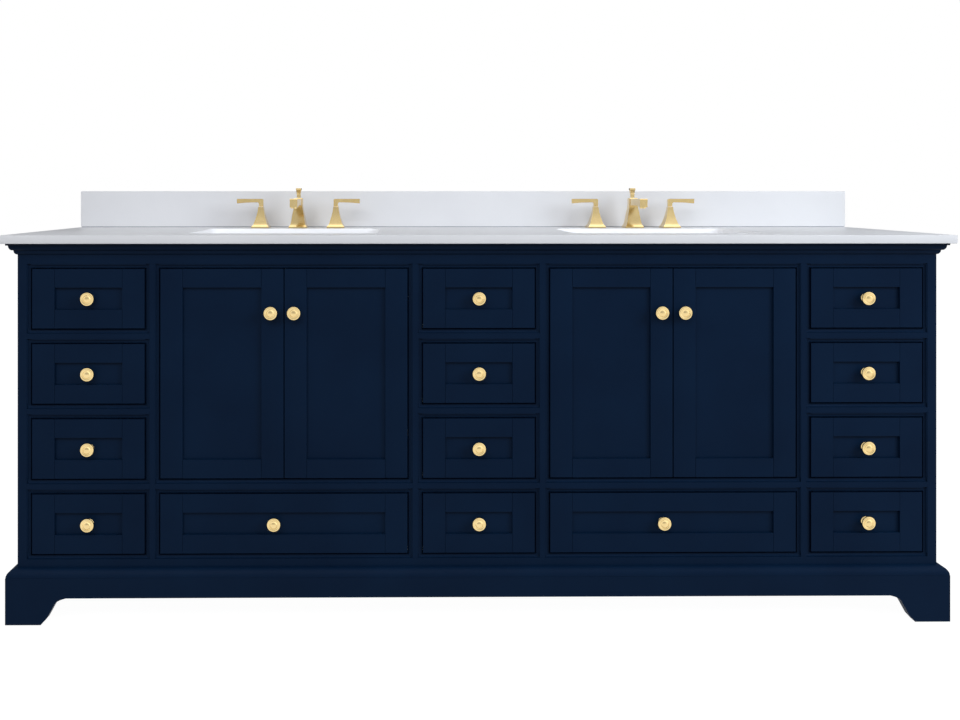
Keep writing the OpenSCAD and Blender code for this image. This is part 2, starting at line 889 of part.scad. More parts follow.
module fixed_runner() {
    difference() {
        board([seam, 0, channel_bottom], [channel_d, box_d, channel_bottom + channel_h]);
        board([seam + steel_t, -1, channel_bottom + steel_t],
              [channel_d + 1, box_d + 1, channel_bottom + channel_h - steel_t]);
    }
    along_x(seam + steel_t / 2, channel_d + moving_gap + 1, 15, stud_r);
    along_x(channel_d + moving_gap, channel_d + moving_gap + roller_t, 15, front_roller_r);
}

module moving_runner() {
    side_x = runner_room - 0.1;
    lip_x = channel_d + moving_gap;
    rear_y = box_d - 17;
    board([side_x - steel_t, 0, -steel_t], [side_x, box_d, 12]);
    board([lip_x, 0, -steel_t - 0.1], [runner_room + 11, box_d, -0.1]);
    board([lip_x + 1.8, rear_y - 13, roller_z - 8], [lip_x + 1.8 + steel_t, rear_y + 13, -0.5]);
    along_x(lip_x - 1, lip_x + 2, rear_y, stud_r);
    along_x(1.9, channel_d - 0.5, rear_y, rear_roller_r);
}

// ---- Doors ----
// Doors 1 to 4 run from left to right; odd doors hinge on their left edge
function door_left(n) = (n < 3 ? -pair_x : pair_x) + (n % 2 == 1 ? -pair_w / 2 + front_gap : door_gap / 2);
function door_hinge_edge(n) = n % 2 == 1 ? door_left(n) : door_left(n) + door_w;
function door_inward(n) = n % 2 == 1 ? 1 : -1;
function cup_x(n) = door_hinge_edge(n) + door_inward(n) * hinge_cup_inset;
function door_knob_x(n) = door_left(n) + (n % 2 == 1 ? door_w - stile_w / 2 : stile_w / 2) + door_knob_shift;
door_z0 = row_z(1) + front_gap;
door_z1 = row_z(1) + door_opening_h - front_gap;
cup_zs = [door_z0 + hinge_from_end, door_z1 - hinge_from_end];
door_knob_z = door_z1 - door_knob_drop;

module door(n) {
    color(navy)
        difference() {
            panelled_front(door_left(n), door_left(n) + door_w, door_z0, door_z1);
            along_y(door_knob_x(n), fronts_y - 1, fronts_back_y + 1, door_knob_z, screw_hole_r);
            for (z = cup_zs)
                along_y(cup_x(n), fronts_back_y - hinge_cup_depth, fronts_back_y + 1, z, hinge_cup_r);
        }
}

module door_hardware(n) {
    ear_t = 1.2;
    color(gold)
        knob(door_knob_x(n), fronts_y, door_knob_z, fronts_back_y);
    color(steel)
        for (z = cup_zs)
            difference() {
                union() {
                    along_y(cup_x(n), fronts_back_y - hinge_cup_depth + seam, fronts_back_y + ear_t, z,
                            hinge_cup_r - seam);
                    board([cup_x(n) - 10, fronts_back_y + seam / 2, z - 31],
                          [cup_x(n) + 10, fronts_back_y + ear_t, z + 31]);
                }
                along_y(cup_x(n), fronts_back_y - hinge_cup_depth + 1.5, fronts_back_y + 2, z,
                        hinge_cup_r - 1.5);
            }
}

// The fixed half of a cup hinge: a plate on the partition and an arm that ends over the cup
module hinge_plate(n, z) {
    edge = door_hinge_edge(n) - door_inward(n) * (front_gap + panel_reveal);
    arm_y = fronts_back_y + 2;
    translate([edge, 0, z])
        mirror([door_inward(n) < 0 ? 1 : 0, 0, 0]) {
            board([seam, arm_y + 28, -20], [3, arm_y + 62, 20]);
            board([2.8, arm_y, -8], [9, arm_y + 70, 8]);
            board([8.8, arm_y, -8], [panel_reveal + front_gap + hinge_cup_inset + 4, arm_y + 5, 8]);
        }
}

module slide_rails_and_hinge_plates() {
    color(steel) {
        for (row = [0 : 3])
            for (x = [-end_x, 0, end_x])
                both_sides(x, column_w, row)
                    fixed_runner();
        for (x = [-pair_x, pair_x])
            both_sides(x, pair_w, 0)
                fixed_runner();
        for (n = [1 : 4])
            for (z = cup_zs)
                hinge_plate(n, z);
    }
}

// ---- Numbered pieces: drawer 1 of a column is the top one ----
module left_drawer_1() drawer(-end_x, column_w, 3);
module left_drawer_2() drawer(-end_x, column_w, 2);
module left_drawer_3() drawer(-end_x, column_w, 1);
module left_drawer_4() drawer(-end_x, column_w, 0);
module middle_drawer_1() drawer(0, column_w, 3);
module middle_drawer_2() drawer(0, column_w, 2);
module middle_drawer_3() drawer(0, column_w, 1);
module middle_drawer_4() drawer(0, column_w, 0);
module right_drawer_1() drawer(end_x, column_w, 3);
module right_drawer_2() drawer(end_x, column_w, 2);
module right_drawer_3() drawer(end_x, column_w, 1);
module right_drawer_4() drawer(end_x, column_w, 0);
module left_wide_drawer() drawer(-pair_x, pair_w, 0, wide_knob_shift);
module right_wide_drawer() drawer(pair_x, pair_w, 0, wide_knob_shift);
module left_drawer_1_hardware() drawer_hardware(-end_x, column_w, 3);
module left_drawer_2_hardware() drawer_hardware(-end_x, column_w, 2);
module left_drawer_3_hardware() drawer_hardware(-end_x, column_w, 1);
module left_drawer_4_hardware() drawer_hardware(-end_x, column_w, 0);
module middle_drawer_1_hardware() drawer_hardware(0, column_w, 3);
module middle_drawer_2_hardware() drawer_hardware(0, column_w, 2);
module middle_drawer_3_hardware() drawer_hardware(0, column_w, 1);
module middle_drawer_4_hardware() drawer_hardware(0, column_w, 0);
module right_drawer_1_hardware() drawer_hardware(end_x, column_w, 3);
module right_drawer_2_hardware() drawer_hardware(end_x, column_w, 2);
module right_drawer_3_hardware() drawer_hardware(end_x, column_w, 1);
module right_drawer_4_hardware() drawer_hardware(end_x, column_w, 0);
module left_wide_drawer_hardware() drawer_hardware(-pair_x, pair_w, 0, wide_knob_shift);
module right_wide_drawer_hardware() drawer_hardware(pair_x, pair_w, 0, wide_knob_shift);
module door_1() door(1);
module door_2() door(2);
module door_3() door(3);
module door_4() door(4);
module door_1_hardware() door_hardware(1);
module door_2_hardware() door_hardware(2);
module door_3_hardware() door_hardware(3);
module door_4_hardware() door_hardware(4);
module left_hot_lever() lever(-basin_x - handle_spacing, -1);
module left_cold_lever() lever(-basin_x + handle_spacing, 1);
module right_hot_lever() lever(basin_x - handle_spacing, -1);
module right_cold_lever() lever(basin_x + handle_spacing, 1);
module left_lift_rod() lift_rod(-basin_x);
module right_lift_rod() lift_rod(basin_x);
module left_pivot_rod() pivot_rod(-basin_x);
module right_pivot_rod() pivot_rod(basin_x);
module left_stopper() stopper(-basin_x);
module right_stopper() stopper(basin_x);

face_frame();
face_frame_beading();
side_panels_and_partitions();
cabinet_floor_and_shelves();
back_panels_and_stretchers();
crown_and_cap_mouldings();
base_plinth();
levelling_feet();
countertop();
backsplash();
sink_basins();
drain_fittings();
faucet_bodies();
slide_rails_and_hinge_plates();
left_drawer_1();
left_drawer_2();
left_drawer_3();
left_drawer_4();
middle_drawer_1();
middle_drawer_2();
middle_drawer_3();
middle_drawer_4();
right_drawer_1();
right_drawer_2();
right_drawer_3();
right_drawer_4();
left_wide_drawer();
right_wide_drawer();
left_drawer_1_hardware();
left_drawer_2_hardware();
left_drawer_3_hardware();
left_drawer_4_hardware();
middle_drawer_1_hardware();
middle_drawer_2_hardware();
middle_drawer_3_hardware();
middle_drawer_4_hardware();
right_drawer_1_hardware();
right_drawer_2_hardware();
right_drawer_3_hardware();
right_drawer_4_hardware();
left_wide_drawer_hardware();
right_wide_drawer_hardware();
door_1();
door_2();
door_3();
door_4();
door_1_hardware();
door_2_hardware();
door_3_hardware();
door_4_hardware();
left_hot_lever();
left_cold_lever();
right_hot_lever();
right_cold_lever();
left_lift_rod();
right_lift_rod();
left_pivot_rod();
right_pivot_rod();
left_stopper();
right_stopper();
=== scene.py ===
import math

import bmesh
import bpy
from mathutils import Matrix, Vector
from mathutils.geometry import tessellate_polygon


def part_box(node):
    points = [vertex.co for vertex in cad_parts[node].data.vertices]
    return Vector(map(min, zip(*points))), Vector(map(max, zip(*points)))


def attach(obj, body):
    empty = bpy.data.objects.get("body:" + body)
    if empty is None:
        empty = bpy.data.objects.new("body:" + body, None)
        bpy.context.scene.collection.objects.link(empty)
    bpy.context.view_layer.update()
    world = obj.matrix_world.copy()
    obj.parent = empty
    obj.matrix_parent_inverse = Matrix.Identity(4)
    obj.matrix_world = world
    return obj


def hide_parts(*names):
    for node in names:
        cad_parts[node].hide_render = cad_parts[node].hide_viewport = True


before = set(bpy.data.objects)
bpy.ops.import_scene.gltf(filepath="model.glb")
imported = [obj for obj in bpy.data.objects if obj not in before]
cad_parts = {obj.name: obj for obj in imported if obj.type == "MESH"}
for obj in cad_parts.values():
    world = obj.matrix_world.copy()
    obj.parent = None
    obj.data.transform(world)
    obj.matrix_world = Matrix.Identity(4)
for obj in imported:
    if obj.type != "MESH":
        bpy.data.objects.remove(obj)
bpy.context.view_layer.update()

# Pieces are drawn in millimetres and scaled when they are done. The camera and the studio are in metres.
MM = 0.001
UP, BACKWARD = (0, 0, 1), (0, 1, 0)

# ---- Sizes that the pieces share: _T is a thickness, _W a width, _H a height, _D a depth, _R a radius ----
SEAM = 0.15  # between boards that meet, so that no faces coincide
FRAME_T = 20
FRONT_T = 19
FRONT_GAP = 1.6  # round every door and drawer front
STILE_W = 50
RAIL_W = 42
PANEL_RECESS = 6.5
FRONT_EASE = 0.6
JOINT = 0.45  # half the width of the groove at a joint of a front
BEAD_W = 10
BEAD_NOSE_W = 8.4
QUIRK = 2.5
PANEL_T = 18
MOULDING_P = 20  # how far the mouldings stand out
BOX_LIFT = 8  # from the opening's lower edge to the drawer box
BOX_H = 100
BOX_SIDE_T = 12
BOX_BOTTOM_T = 6
RUNNER_ROOM = 12.7  # between an upright and a drawer box
PANEL_REVEAL = 7  # from the edge of an opening back to the upright beside it
RUNNER_LEN = 450
CHANNEL_H = 30
CHANNEL_D = 7.2
CHANNEL_BOTTOM = -26.6  # from the drawer box's lower edge
HINGE_INSET = 22.5  # from a door's edge to the middle of its hinge cups
CUP_R = 17.5
CUP_DEPTH = 12.5

DRAWERS = [f"{column}_drawer_{n}" for column in ("left", "middle", "right") for n in (1, 2, 3, 4)]
WIDE_DRAWERS = ["left_wide_drawer", "right_wide_drawer"]
DOORS = ["door_1", "door_2", "door_3", "door_4"]


def spans(node):
    """The node's box as ((x0, x1), (y0, y1), (z0, z1)), in millimetres."""
    lo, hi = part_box(node)
    return tuple((lo[i] / MM, hi[i] / MM) for i in range(3))


FACE_FRAME = spans("face_frame")
COUNTER = spans("countertop")
SPLASH = spans("backsplash")
FACE_Y = FACE_FRAME[1][0]
BACK_Y = COUNTER[1][1]
FRONTS_Y = spans("left_drawer_1")[1][0]
FRONTS_BACK_Y = FRONTS_Y + FRONT_T
BODY_X = FACE_FRAME[0][1]
CARCASS_TOP = FACE_FRAME[2][1]
SIDE_BOTTOM = FACE_FRAME[2][0]
COUNTER_TOP = COUNTER[2][1]
BASE = spans("base_plinth")
GLIDE_H, BASE_TOP = BASE[2]


def opening(node):
    """The face-frame opening around a front: its box grown by the gap."""
    (x0, x1), _, (z0, z1) = spans(node)
    return x0 - FRONT_GAP, x1 + FRONT_GAP, z0 - FRONT_GAP, z1 + FRONT_GAP


OPENINGS = [opening(n) for n in DRAWERS + WIDE_DRAWERS]
for left_door, right_door in (DOORS[:2], DOORS[2:]):
    (start, _, *heights), (_, end, *_) = opening(left_door), opening(right_door)
    OPENINGS.append((start, end, *heights))


# ---- Camera ----
def make_camera():
    """A level view camera, a little left of the middle and just above the countertop."""
    eye_x, eye_z, distance, yaw = -0.1715, 0.9618, 2.1058, -0.50
    data = bpy.data.cameras.new("camera")
    data.sensor_width = 36
    data.lens = 35.552
    data.shift_x = 0.0717
    data.shift_y = -0.1722
    data.clip_end = 60
    camera = bpy.data.objects.new("camera", data)
    bpy.context.scene.collection.objects.link(camera)
    camera.location = (eye_x, COUNTER[1][0] * MM - distance, eye_z)
    camera.rotation_euler = (math.radians(90), 0, math.radians(yaw))
    bpy.context.scene.camera = camera


# ---- Node helpers ----
class Nodes:
    """A node tree and short ways to add to it."""

    def __init__(self, tree):
        self.tree = tree

    def add(self, kind, inputs=(), **settings):
        node = self.tree.nodes.new(kind)
        for key, value in settings.items():
            setattr(node, key, value)
        for key, value in dict(inputs).items():
            if isinstance(value, bpy.types.NodeSocket):
                self.tree.links.new(value, node.inputs[key])
            else:
                node.inputs[key].default_value = value
        return node

    def span(self, value, low, high, from_low=0.0, from_high=1.0):
        inputs = {"Value": value, "From Min": from_low, "From Max": from_high, "To Min": low, "To Max": high}
        return self.add("ShaderNodeMapRange", inputs).outputs["Result"]


class Shader(Nodes):
    """A principled material."""

    def __init__(self, name, **sockets):
        self.material = bpy.data.materials.new(name)
        self.material.use_nodes = True
        super().__init__(self.material.node_tree)
        self.bsdf = self.tree.nodes["Principled BSDF"]
        for key, value in sockets.items():
            self.bsdf.inputs[key.replace("_", " ")].default_value = value
        self.coords = self.add("ShaderNodeTexCoord").outputs["Object"]

    def stretched(self, scale):
        return self.add("ShaderNodeMapping", {"Vector": self.coords, "Scale": scale}).outputs[0]

    def noise(self, scale, detail=3.0, vector=None, roughness=0.5, distortion=0.0):
        inputs = {"Vector": vector or self.coords, "Scale": scale, "Detail": detail,
                  "Roughness": roughness, "Distortion": distortion}
        return self.add("ShaderNodeTexNoise", inputs).outputs["Fac"]

    def ramp(self, value, stops):
        node = self.add("ShaderNodeValToRGB", {"Fac": value})
        elements = node.color_ramp.elements
        while len(elements) < len(stops):
            elements.new(0.5)
        for element, (place, colour) in zip(elements, stops):
            element.position = place
            element.color = (*colour, 1)
        return node.outputs["Color"]

    def mix(self, factor, ground, colour):
        inputs = {0: factor, 6: ground, 7: (*colour, 1)}
        return self.add("ShaderNodeMix", inputs, data_type="RGBA").outputs[2]

    def bump(self, height, distance, strength=1.0, normal=None):
        inputs = {"Height": height, "Distance": distance, "Strength": strength}
        if normal:
            inputs["Normal"] = normal
        return self.add("ShaderNodeBump", inputs).outputs["Normal"]

    def drive(self, **sockets):
        for key, value in sockets.items():
            self.tree.links.new(value, self.bsdf.inputs[key.replace("_", " ")])
        return self.material


# ---- Materials ----
def navy_paint(name="navy_paint", lift=1.0, shine=0.05):
    """Sprayed satin paint: a fine orange peel, and the faintest grain of the wood under it."""
    s = Shader(name, Specular_IOR_Level=shine)
    tones = ((0.0020, 0.0090, 0.0268), (0.0025, 0.0112, 0.0322))
    low, high = [tuple(lift * c for c in tone) for tone in tones]
    colour = s.ramp(s.noise(7, 4), [(0.3, low), (0.7, high)])
    grain = s.noise(60, 4, s.stretched((1, 1, 0.12)))
    normal = s.bump(grain, 0.00005, 1.0, s.bump(s.noise(850, 2), 0.00004))
    return s.drive(Base_Color=colour, Roughness=s.span(s.noise(30, 3), 0.40, 0.50), Normal=normal)


def wood(name, grain_axis, light, dark, ring_scale=26):
    """Clear-finished wood whose grain runs along one axis."""
    s = Shader(name, Specular_IOR_Level=0.35)
    squeeze = [1.0, 1.0, 1.0]
    squeeze[grain_axis] = 0.07
    along = s.stretched(squeeze)
    rings = s.noise(ring_scale, 6.0, along, 0.5, 1.2)
    fibres = s.noise(420, 3, along, 0.7)
    base = s.ramp(rings, [(0.32, dark), (0.5, light), (0.72, tuple(0.93 * c for c in light))])
    base = s.mix(s.span(fibres, 0.0, 0.28, 0.45, 0.75), base, tuple(0.72 * c for c in dark))
    base = s.mix(s.span(s.noise(9, 3, along), 0.0, 0.25), base, tuple(1.04 * c for c in light))
    return s.drive(Base_Color=base, Roughness=s.span(fibres, 0.36, 0.52), Normal=s.bump(fibres, 0.00008))


def quartz(name="white_quartz", lift=1.0):
    """Engineered white stone: fine pale flecks in a slightly clouded ground. lift brightens it."""
    s = Shader(name, Specular_IOR_Level=0.12)
    tones = ((0.676, 0.683, 0.712), (0.713, 0.72, 0.745), (0.635, 0.644, 0.672))
    low, high, fleck = [tuple(lift * c for c in tone) for tone in tones]
    cloud = s.noise(5, 5)
    specks = s.add("ShaderNodeTexVoronoi", {"Vector": s.coords, "Scale": 420}).outputs["Distance"]
    ground = s.ramp(cloud, [(0.3, low), (0.7, high)])
    ground = s.mix(s.span(specks, 1.0, 0.0, 0.06, 0.22), ground, fleck)
    grit = s.bump(s.noise(1500, 1), 0.00001)
    return s.drive(Base_Color=ground, Roughness=s.span(cloud, 0.30, 0.38), Normal=grit)


def brass():
    """Lacquered gold-toned brass with fine polishing marks."""
    s = Shader("polished_brass", Metallic=1.0, Coat_Weight=0.25, Coat_Roughness=0.12)
    tone = s.ramp(s.noise(55, 3), [(0.25, (0.80, 0.60, 0.27)), (0.75, (0.87, 0.67, 0.32))])
    marks = s.bump(s.noise(1800, 2, s.stretched((1, 1, 0.15))), 0.000006)
    return s.drive(Base_Color=tone, Roughness=s.span(s.noise(120, 3), 0.15, 0.22), Normal=marks)


def plain(name, dark, light, cloud, marks, rough, depth, stretch=(1, 1, 1), strength=1.0, **sockets):
    """A material with a slightly clouded tone, and marks that vary its roughness and its surface."""
    s = Shader(name, **sockets)
    tone = s.ramp(s.noise(*cloud), [(0.3, dark), (0.7, light)])
    pattern = s.noise(*marks, s.stretched(stretch))
    normal = s.bump(pattern, depth, strength)
    return s.drive(Base_Color=tone, Roughness=s.span(pattern, *rough), Normal=normal)


BIRCH_LIGHT, BIRCH_DARK = (0.62, 0.46, 0.29), (0.47, 0.33, 0.19)
MAPLE_LIGHT, MAPLE_DARK = (0.68, 0.52, 0.35), (0.55, 0.39, 0.24)
NAVY = navy_paint()
# A darker copy of the navy with no shine: painted shade, for faces in narrow gaps and joint grooves where
# shade falls.
PAINTED_SHADE = navy_paint("navy_painted_shade_in_gaps", 0.3, 0.0)
BIRCH = [wood(f"birch_{axis}", i, BIRCH_LIGHT, BIRCH_DARK, 16) for i, axis in enumerate("xyz")]
MAPLE = [wood(f"maple_{axis}", i, MAPLE_LIGHT, MAPLE_DARK) for i, axis in enumerate("xy")]
END_GRAIN = wood("maple_end_grain", 0, (0.52, 0.37, 0.22), (0.38, 0.25, 0.13), 60)
QUARTZ = quartz()
# A brighter copy of the quartz for the walls of the cut-outs: painted light on walls that stand in shade.
PAINTED_LIGHT_QUARTZ = quartz("white_quartz_painted_light_edge", 1.36)
BRASS = brass()
SILICONE = plain("grey_silicone", (0.20, 0.22, 0.26), (0.26, 0.28, 0.32), (40, 3), (260, 2), (0.45, 0.6),
                 0.00003, Specular_IOR_Level=0.3)
CERAMIC = plain("white_ceramic", (0.82, 0.83, 0.85), (0.85, 0.86, 0.875), (6, 3), (22, 2), (0.10, 0.16),
                0.00025, strength=0.4, Specular_IOR_Level=0.5, Coat_Weight=0.6, Coat_Roughness=0.06)
ZINC = plain("zinc_plated_steel", (0.50, 0.52, 0.55), (0.66, 0.67, 0.69), (40, 4), (900, 3), (0.26, 0.42),
             0.00001, (1, 0.1, 1), Metallic=1.0)
NYLON = plain("white_nylon", (0.70, 0.69, 0.65), (0.78, 0.77, 0.73), (60, 3), (700, 2), (0.38, 0.5),
              0.00002, Specular_IOR_Level=0.4)


# ---- Mesh helpers ----
class Piece:
    """A mesh in the making, in millimetres. Each solid is added with a material's number. The slot is named
    after the first material unless it is given."""

    def __init__(self, name, materials, body="root", slot=None):
        self.name = name
        self.materials = materials
        self.body = body
        self.slot = slot or materials[0].name.split(".")[0]
        self.bm = bmesh.new()

    def skin(self, rings, closed=False):
        """Joins each ring to the next, and the last to the first if closed. Returns rings and faces."""
        made = [[self.bm.verts.new(p) for p in ring] for ring in rings]
        faces = []
        for low, high in zip(made, made[1:] + made[:1] if closed else made[1:]):
            for i in range(len(low)):
                j = (i + 1) % len(low)
                faces.append(self.bm.faces.new((low[i], low[j], high[j], high[i])))
        return made, faces

    def loft(self, rings, material=0, closed=False, bevel=0, steps=2, limit=20):
        """A solid through rings that have equal numbers of points, with caps unless it is closed."""
        made, faces = self.skin(rings, closed)
        if not closed:
            faces += [self.bm.faces.new(reversed(made[0])), self.bm.faces.new(made[-1])]
        for face in faces:
            face.material_index = material
        if bevel:
            edges = dict.fromkeys(e for f in faces for e in f.edges)
            sharp = [e for e in edges if len(e.link_faces) == 2 and e.calc_face_angle() > math.radians(limit)]
            bmesh.ops.bevel(self.bm, geom=sharp, offset=bevel, segments=steps, profile=0.5,
                            affect="EDGES", clamp_overlap=True)

    def prism(self, outline, axis, a, b, bevel=0.6, material=0, steps=1, limit=20):
        """An outline in the plane across axis, drawn as pairs in X, Y, Z order, from a to b along it."""
        rings = [[Vector((*pair[:axis], level, *pair[axis:])) for pair in outline] for level in (a, b)]
        self.loft(rings, material=material, bevel=bevel, steps=steps, limit=limit)

    def box(self, corner, opposite, bevel=0.6, material=0):
        """A board with eased edges."""
        (x0, x1), (y0, y1), (z0, z1) = (sorted(pair) for pair in zip(corner, opposite))
        self.prism([(x0, y0), (x1, y0), (x1, y1), (x0, y1)], 2, z0, z1, bevel, material)

    def turn(self, profile, centre, axis, segments=40, material=0):
        """A turned solid: profile is pairs of radius and distance along axis, open or closed at the axis."""
        axis = Vector(axis)
        u = axis.cross(Vector((0, 0, 1)) if abs(axis.z) < 0.9 else Vector((1, 0, 0))).normalized()
        v = axis.cross(u)
        angles = [2 * math.pi * i / segments for i in range(segments)]
        closed = profile[0] == profile[-1]
        rings = []
        for radius, along in profile[:-1] if closed else profile:
            middle = Vector(centre) + axis * along
            ring = [middle + radius * (math.cos(t) * u + math.sin(t) * v) for t in angles]
            rings.append([self.bm.verts.new(p) for p in (ring if radius > 1e-7 else [middle])])
        for low, high in zip(rings, rings[1:] + rings[:1] if closed else rings[1:]):
            for i in range(segments):
                j = (i + 1) % segments
                corners = [low[i % len(low)], low[j % len(low)], high[j % len(high)], high[i % len(high)]]
                self.bm.faces.new(list(dict.fromkeys(corners))).material_index = material

    def rod(self, start, axis, r, length, segments=20):
        """A plain round bar."""
        self.turn([(0, 0), (r, 0), (r, length), (0, length)], start, axis, segments)

    def done(self, replaces, smooth=32):
        self.bm.transform(Matrix.Scale(MM, 4))
        bmesh.ops.recalc_face_normals(self.bm, faces=self.bm.faces)
        mesh = bpy.data.meshes.new(self.name)
        self.bm.to_mesh(mesh)
        self.bm.free()
        for material in self.materials:
            mesh.materials.append(material)
        mesh.shade_smooth()
        mesh.set_sharp_from_angle(angle=math.radians(smooth))
        piece = bpy.data.objects.new(self.name, mesh)
        bpy.context.scene.collection.objects.link(piece)
        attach(piece, self.body)
        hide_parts(replaces)


def arc(cx, cy, rx, ry, start, end, steps):
    """Points on an elliptical arc, angles in degrees."""
    angles = [math.radians(start + (end - start) * i / steps) for i in range(steps + 1)]
    return [(cx + rx * math.cos(a), cy + ry * math.sin(a)) for a in angles]


def rounded_ring(cx, cy, w, d, r, z, steps=8):
    """A rounded rectangle as a ring of points at height z."""
    points = []
    for sx, sy, start in ((1, 1, 0), (-1, 1, 90), (-1, -1, 180), (1, -1, 270)):
        centre = (cx + sx * (w / 2 - r), cy + sy * (d / 2 - r))
        points += arc(*centre, r, r, start, start + 90, steps)
    return [Vector((x, y, z)) for x, y in points]


def circle_ring(cx, cy, r, z, count):
    """A circle whose points pair up with those of a rounded ring."""
    angles = [math.radians(a) for q in range(4) for a in
              [90 * q + 90 * i / (count // 4 - 1) for i in range(count // 4)]]
    return [Vector((cx + r * math.cos(a), cy + r * math.sin(a), z)) for a in angles]


def upward(u, v, w):
    return Vector((u, v, w))


def facing_front(u, v, w):
    return Vector((u, w, v))


def slab(piece, contours, w0, w1, ease, place=upward, blind=(), hole_material=0):
    """A flat slab from w0 to w1 with eased edges. Each contour is a function that gives its points at an
    inset: the first is the outside, the others are holes. blind holes at w1 are (u, v, radius, depth)."""
    turns = [math.radians(a) for a in (0, 30, 60, 90)]
    levels = [(ease * (1 - math.sin(t)), w0 + ease * (1 - math.cos(t))) for t in turns]
    levels += [(ease * (1 - math.cos(t)), w1 - ease * (1 - math.sin(t))) for t in turns]

    def skin(rings):
        return piece.skin([[place(u, v, w) for u, v in ring] for ring, w in rings])

    lows, highs = [], []
    for number, contour in enumerate(contours):
        made, faces = skin([(contour(inset), w) for inset, w in levels])
        for face in faces:
            face.material_index = hole_material if number else 0
        lows.append(made[0])
        highs.append(made[-1])
    for u, v, r, depth in blind:
        circle = outline_of_hole(u, v, r)(0)
        made, _ = skin([(circle, w1 - depth), (circle, w1)])
        piece.bm.faces.new(made[0])
        highs.append(made[-1])
    for loops in (lows, highs):
        flat = [v for loop in loops for v in loop]
        for tri in tessellate_polygon([[v.co for v in loop] for loop in loops]):
            piece.bm.faces.new([flat[i] for i in tri])


# ---- Face frame, beading, mouldings and base ----
def face_frame():
    """Wide end stiles, the top and bottom rails, the bars between the columns and the short cross rails."""
    piece = Piece("face_frame", [NAVY])
    y0, y1 = FACE_Y, FACE_Y + FRAME_T - SEAM
    low = min(o[2] for o in OPENINGS) - BEAD_W
    high = max(o[3] for o in OPENINGS) + BEAD_W
    edge = max(o[1] for o in OPENINGS)
    ease = 0.55
    for s in (-1, 1):
        outline = [(edge, SIDE_BOTTOM), (BODY_X, SIDE_BOTTOM), (BODY_X, CARCASS_TOP), (edge, CARCASS_TOP),
                   (edge, high), (edge + BEAD_W, high), (edge + BEAD_W, low), (edge, low)]
        piece.prism([(s * x, z) for x, z in outline], 1, y0, y1, ease)
    for z0, z1 in ((SIDE_BOTTOM, low), (high, CARCASS_TOP)):
        piece.box((-edge + SEAM, y0, z0), (edge - SEAM, y1, z1), ease)
    edges = sorted({round(o[i], 2) for o in OPENINGS for i in (0, 1)})
    for right, left in zip(edges[1::2], edges[2::2]):
        piece.box((right + BEAD_W, y0, low + SEAM), (left - BEAD_W, y1, high - SEAM), ease)
    for x0, x1, z0, z1 in OPENINGS:
        above = [o[2] for o in OPENINGS if abs(o[0] - x0) < 1 and o[2] > z1]
        if above:
            start = (x0 - BEAD_W + SEAM, y0, z1 + BEAD_W)
            piece.box(start, (x1 + BEAD_W - SEAM, y1, min(above) - BEAD_W), ease)
    piece.done("face_frame")


def beading():
    """A mitred bead round each opening: a rounded nose, and a quirk that is deepest at the bottom."""
    piece = Piece("face_frame_beading", [NAVY, PAINTED_SHADE])
    back, low = FACE_Y + FRAME_T - SEAM, FACE_Y + QUIRK
    nose_r, skin, edge = BEAD_NOSE_W / 2, 0.04, BEAD_W - 0.2
    nose = arc(nose_r, low, nose_r, QUIRK - 0.02, 180, 0, 12)
    profile = [(0, back)] + nose + [(edge, low), (edge, back)]
    # A thin skin over the bead's inner side, which faces the gap, in the darkened navy: painted shade.
    inner = arc(nose_r, low, nose_r + skin, QUIRK, 180, 150, 3)
    shade_outline = [(0.6, back), (-skin, back)] + inner + [(1.5, low)]
    near, far = BEAD_NOSE_W - 0.6, BEAD_W - 0.05
    for x0, x1, z0, z1 in OPENINGS:
        corners = ((x0, z0, -1, -1), (x1, z0, 1, -1), (x1, z1, 1, 1), (x0, z1, -1, 1))
        for outline, material in ((profile, 0), (shade_outline, 1)):
            piece.loft([[Vector((x + sx * out, y, z + sz * out)) for out, y in outline]
                        for x, z, sx, sz in corners], material, closed=True)
        piece.box((x0, FACE_Y + 0.7, z1 + near), (x1, back, z1 + far), 0.1)
        for x, s in ((x0, -1), (x1, 1)):
            piece.box((x + s * near, FACE_Y + 1.1, z0), (x + s * far, back, z1 + BEAD_NOSE_W), 0.1)
    piece.done("face_frame_beading", smooth=40)


def wrap(piece, outline, front):
    """Runs an outline of (projection, height) along the left side, the front and the right side."""
    back, edge = BACK_Y - 0.2, BODY_X
    stations = [(-edge, back, -1, 0), (-edge, front, -1, -1), (edge, front, 1, -1), (edge, back, 1, 0)]
    piece.loft([[Vector((x + dx * out, y + dy * out, z)) for out, z in outline] for x, y, dx, dy in stations])


def mouldings():
    """The crown under the countertop, and the quarter-round cap on the base."""
    crown = Piece("crown_moulding", [NAVY])
    top, fillet, large, small, step, ease = CARCASS_TOP - 0.1, 4, 11.2, 9.6, 0.2, 0.5
    large_in, large_out, small_out = 8.5, MOULDING_P - 4.5, 6.8
    fillet_z = top - fillet
    small_top = fillet_z - large - step
    outline = [(0, top), (MOULDING_P - ease, top), (MOULDING_P, top - ease), (MOULDING_P, fillet_z + ease),
               (MOULDING_P - ease, fillet_z)]
    outline += arc(large_in, fillet_z, large_out - large_in, large, 0, -90, 10)
    outline += arc(step, small_top, small_out - step, small, 0, -90, 8)
    wrap(crown, outline + [(0, small_top - small)], FACE_Y)
    crown.done("crown_and_cap_mouldings", smooth=28)
    cap = Piece("base_cap_moulding", [NAVY])
    cap_h = 18
    wrap(cap, [(0, BASE_TOP)] + arc(0, BASE_TOP, MOULDING_P - 0.5, cap_h, 0, 90, 14), FACE_Y)
    cap.done("crown_and_cap_mouldings", smooth=28)


FOOT_FLAT = 79
ARCH_Z = 63
LEG_Y = (-75, 225)


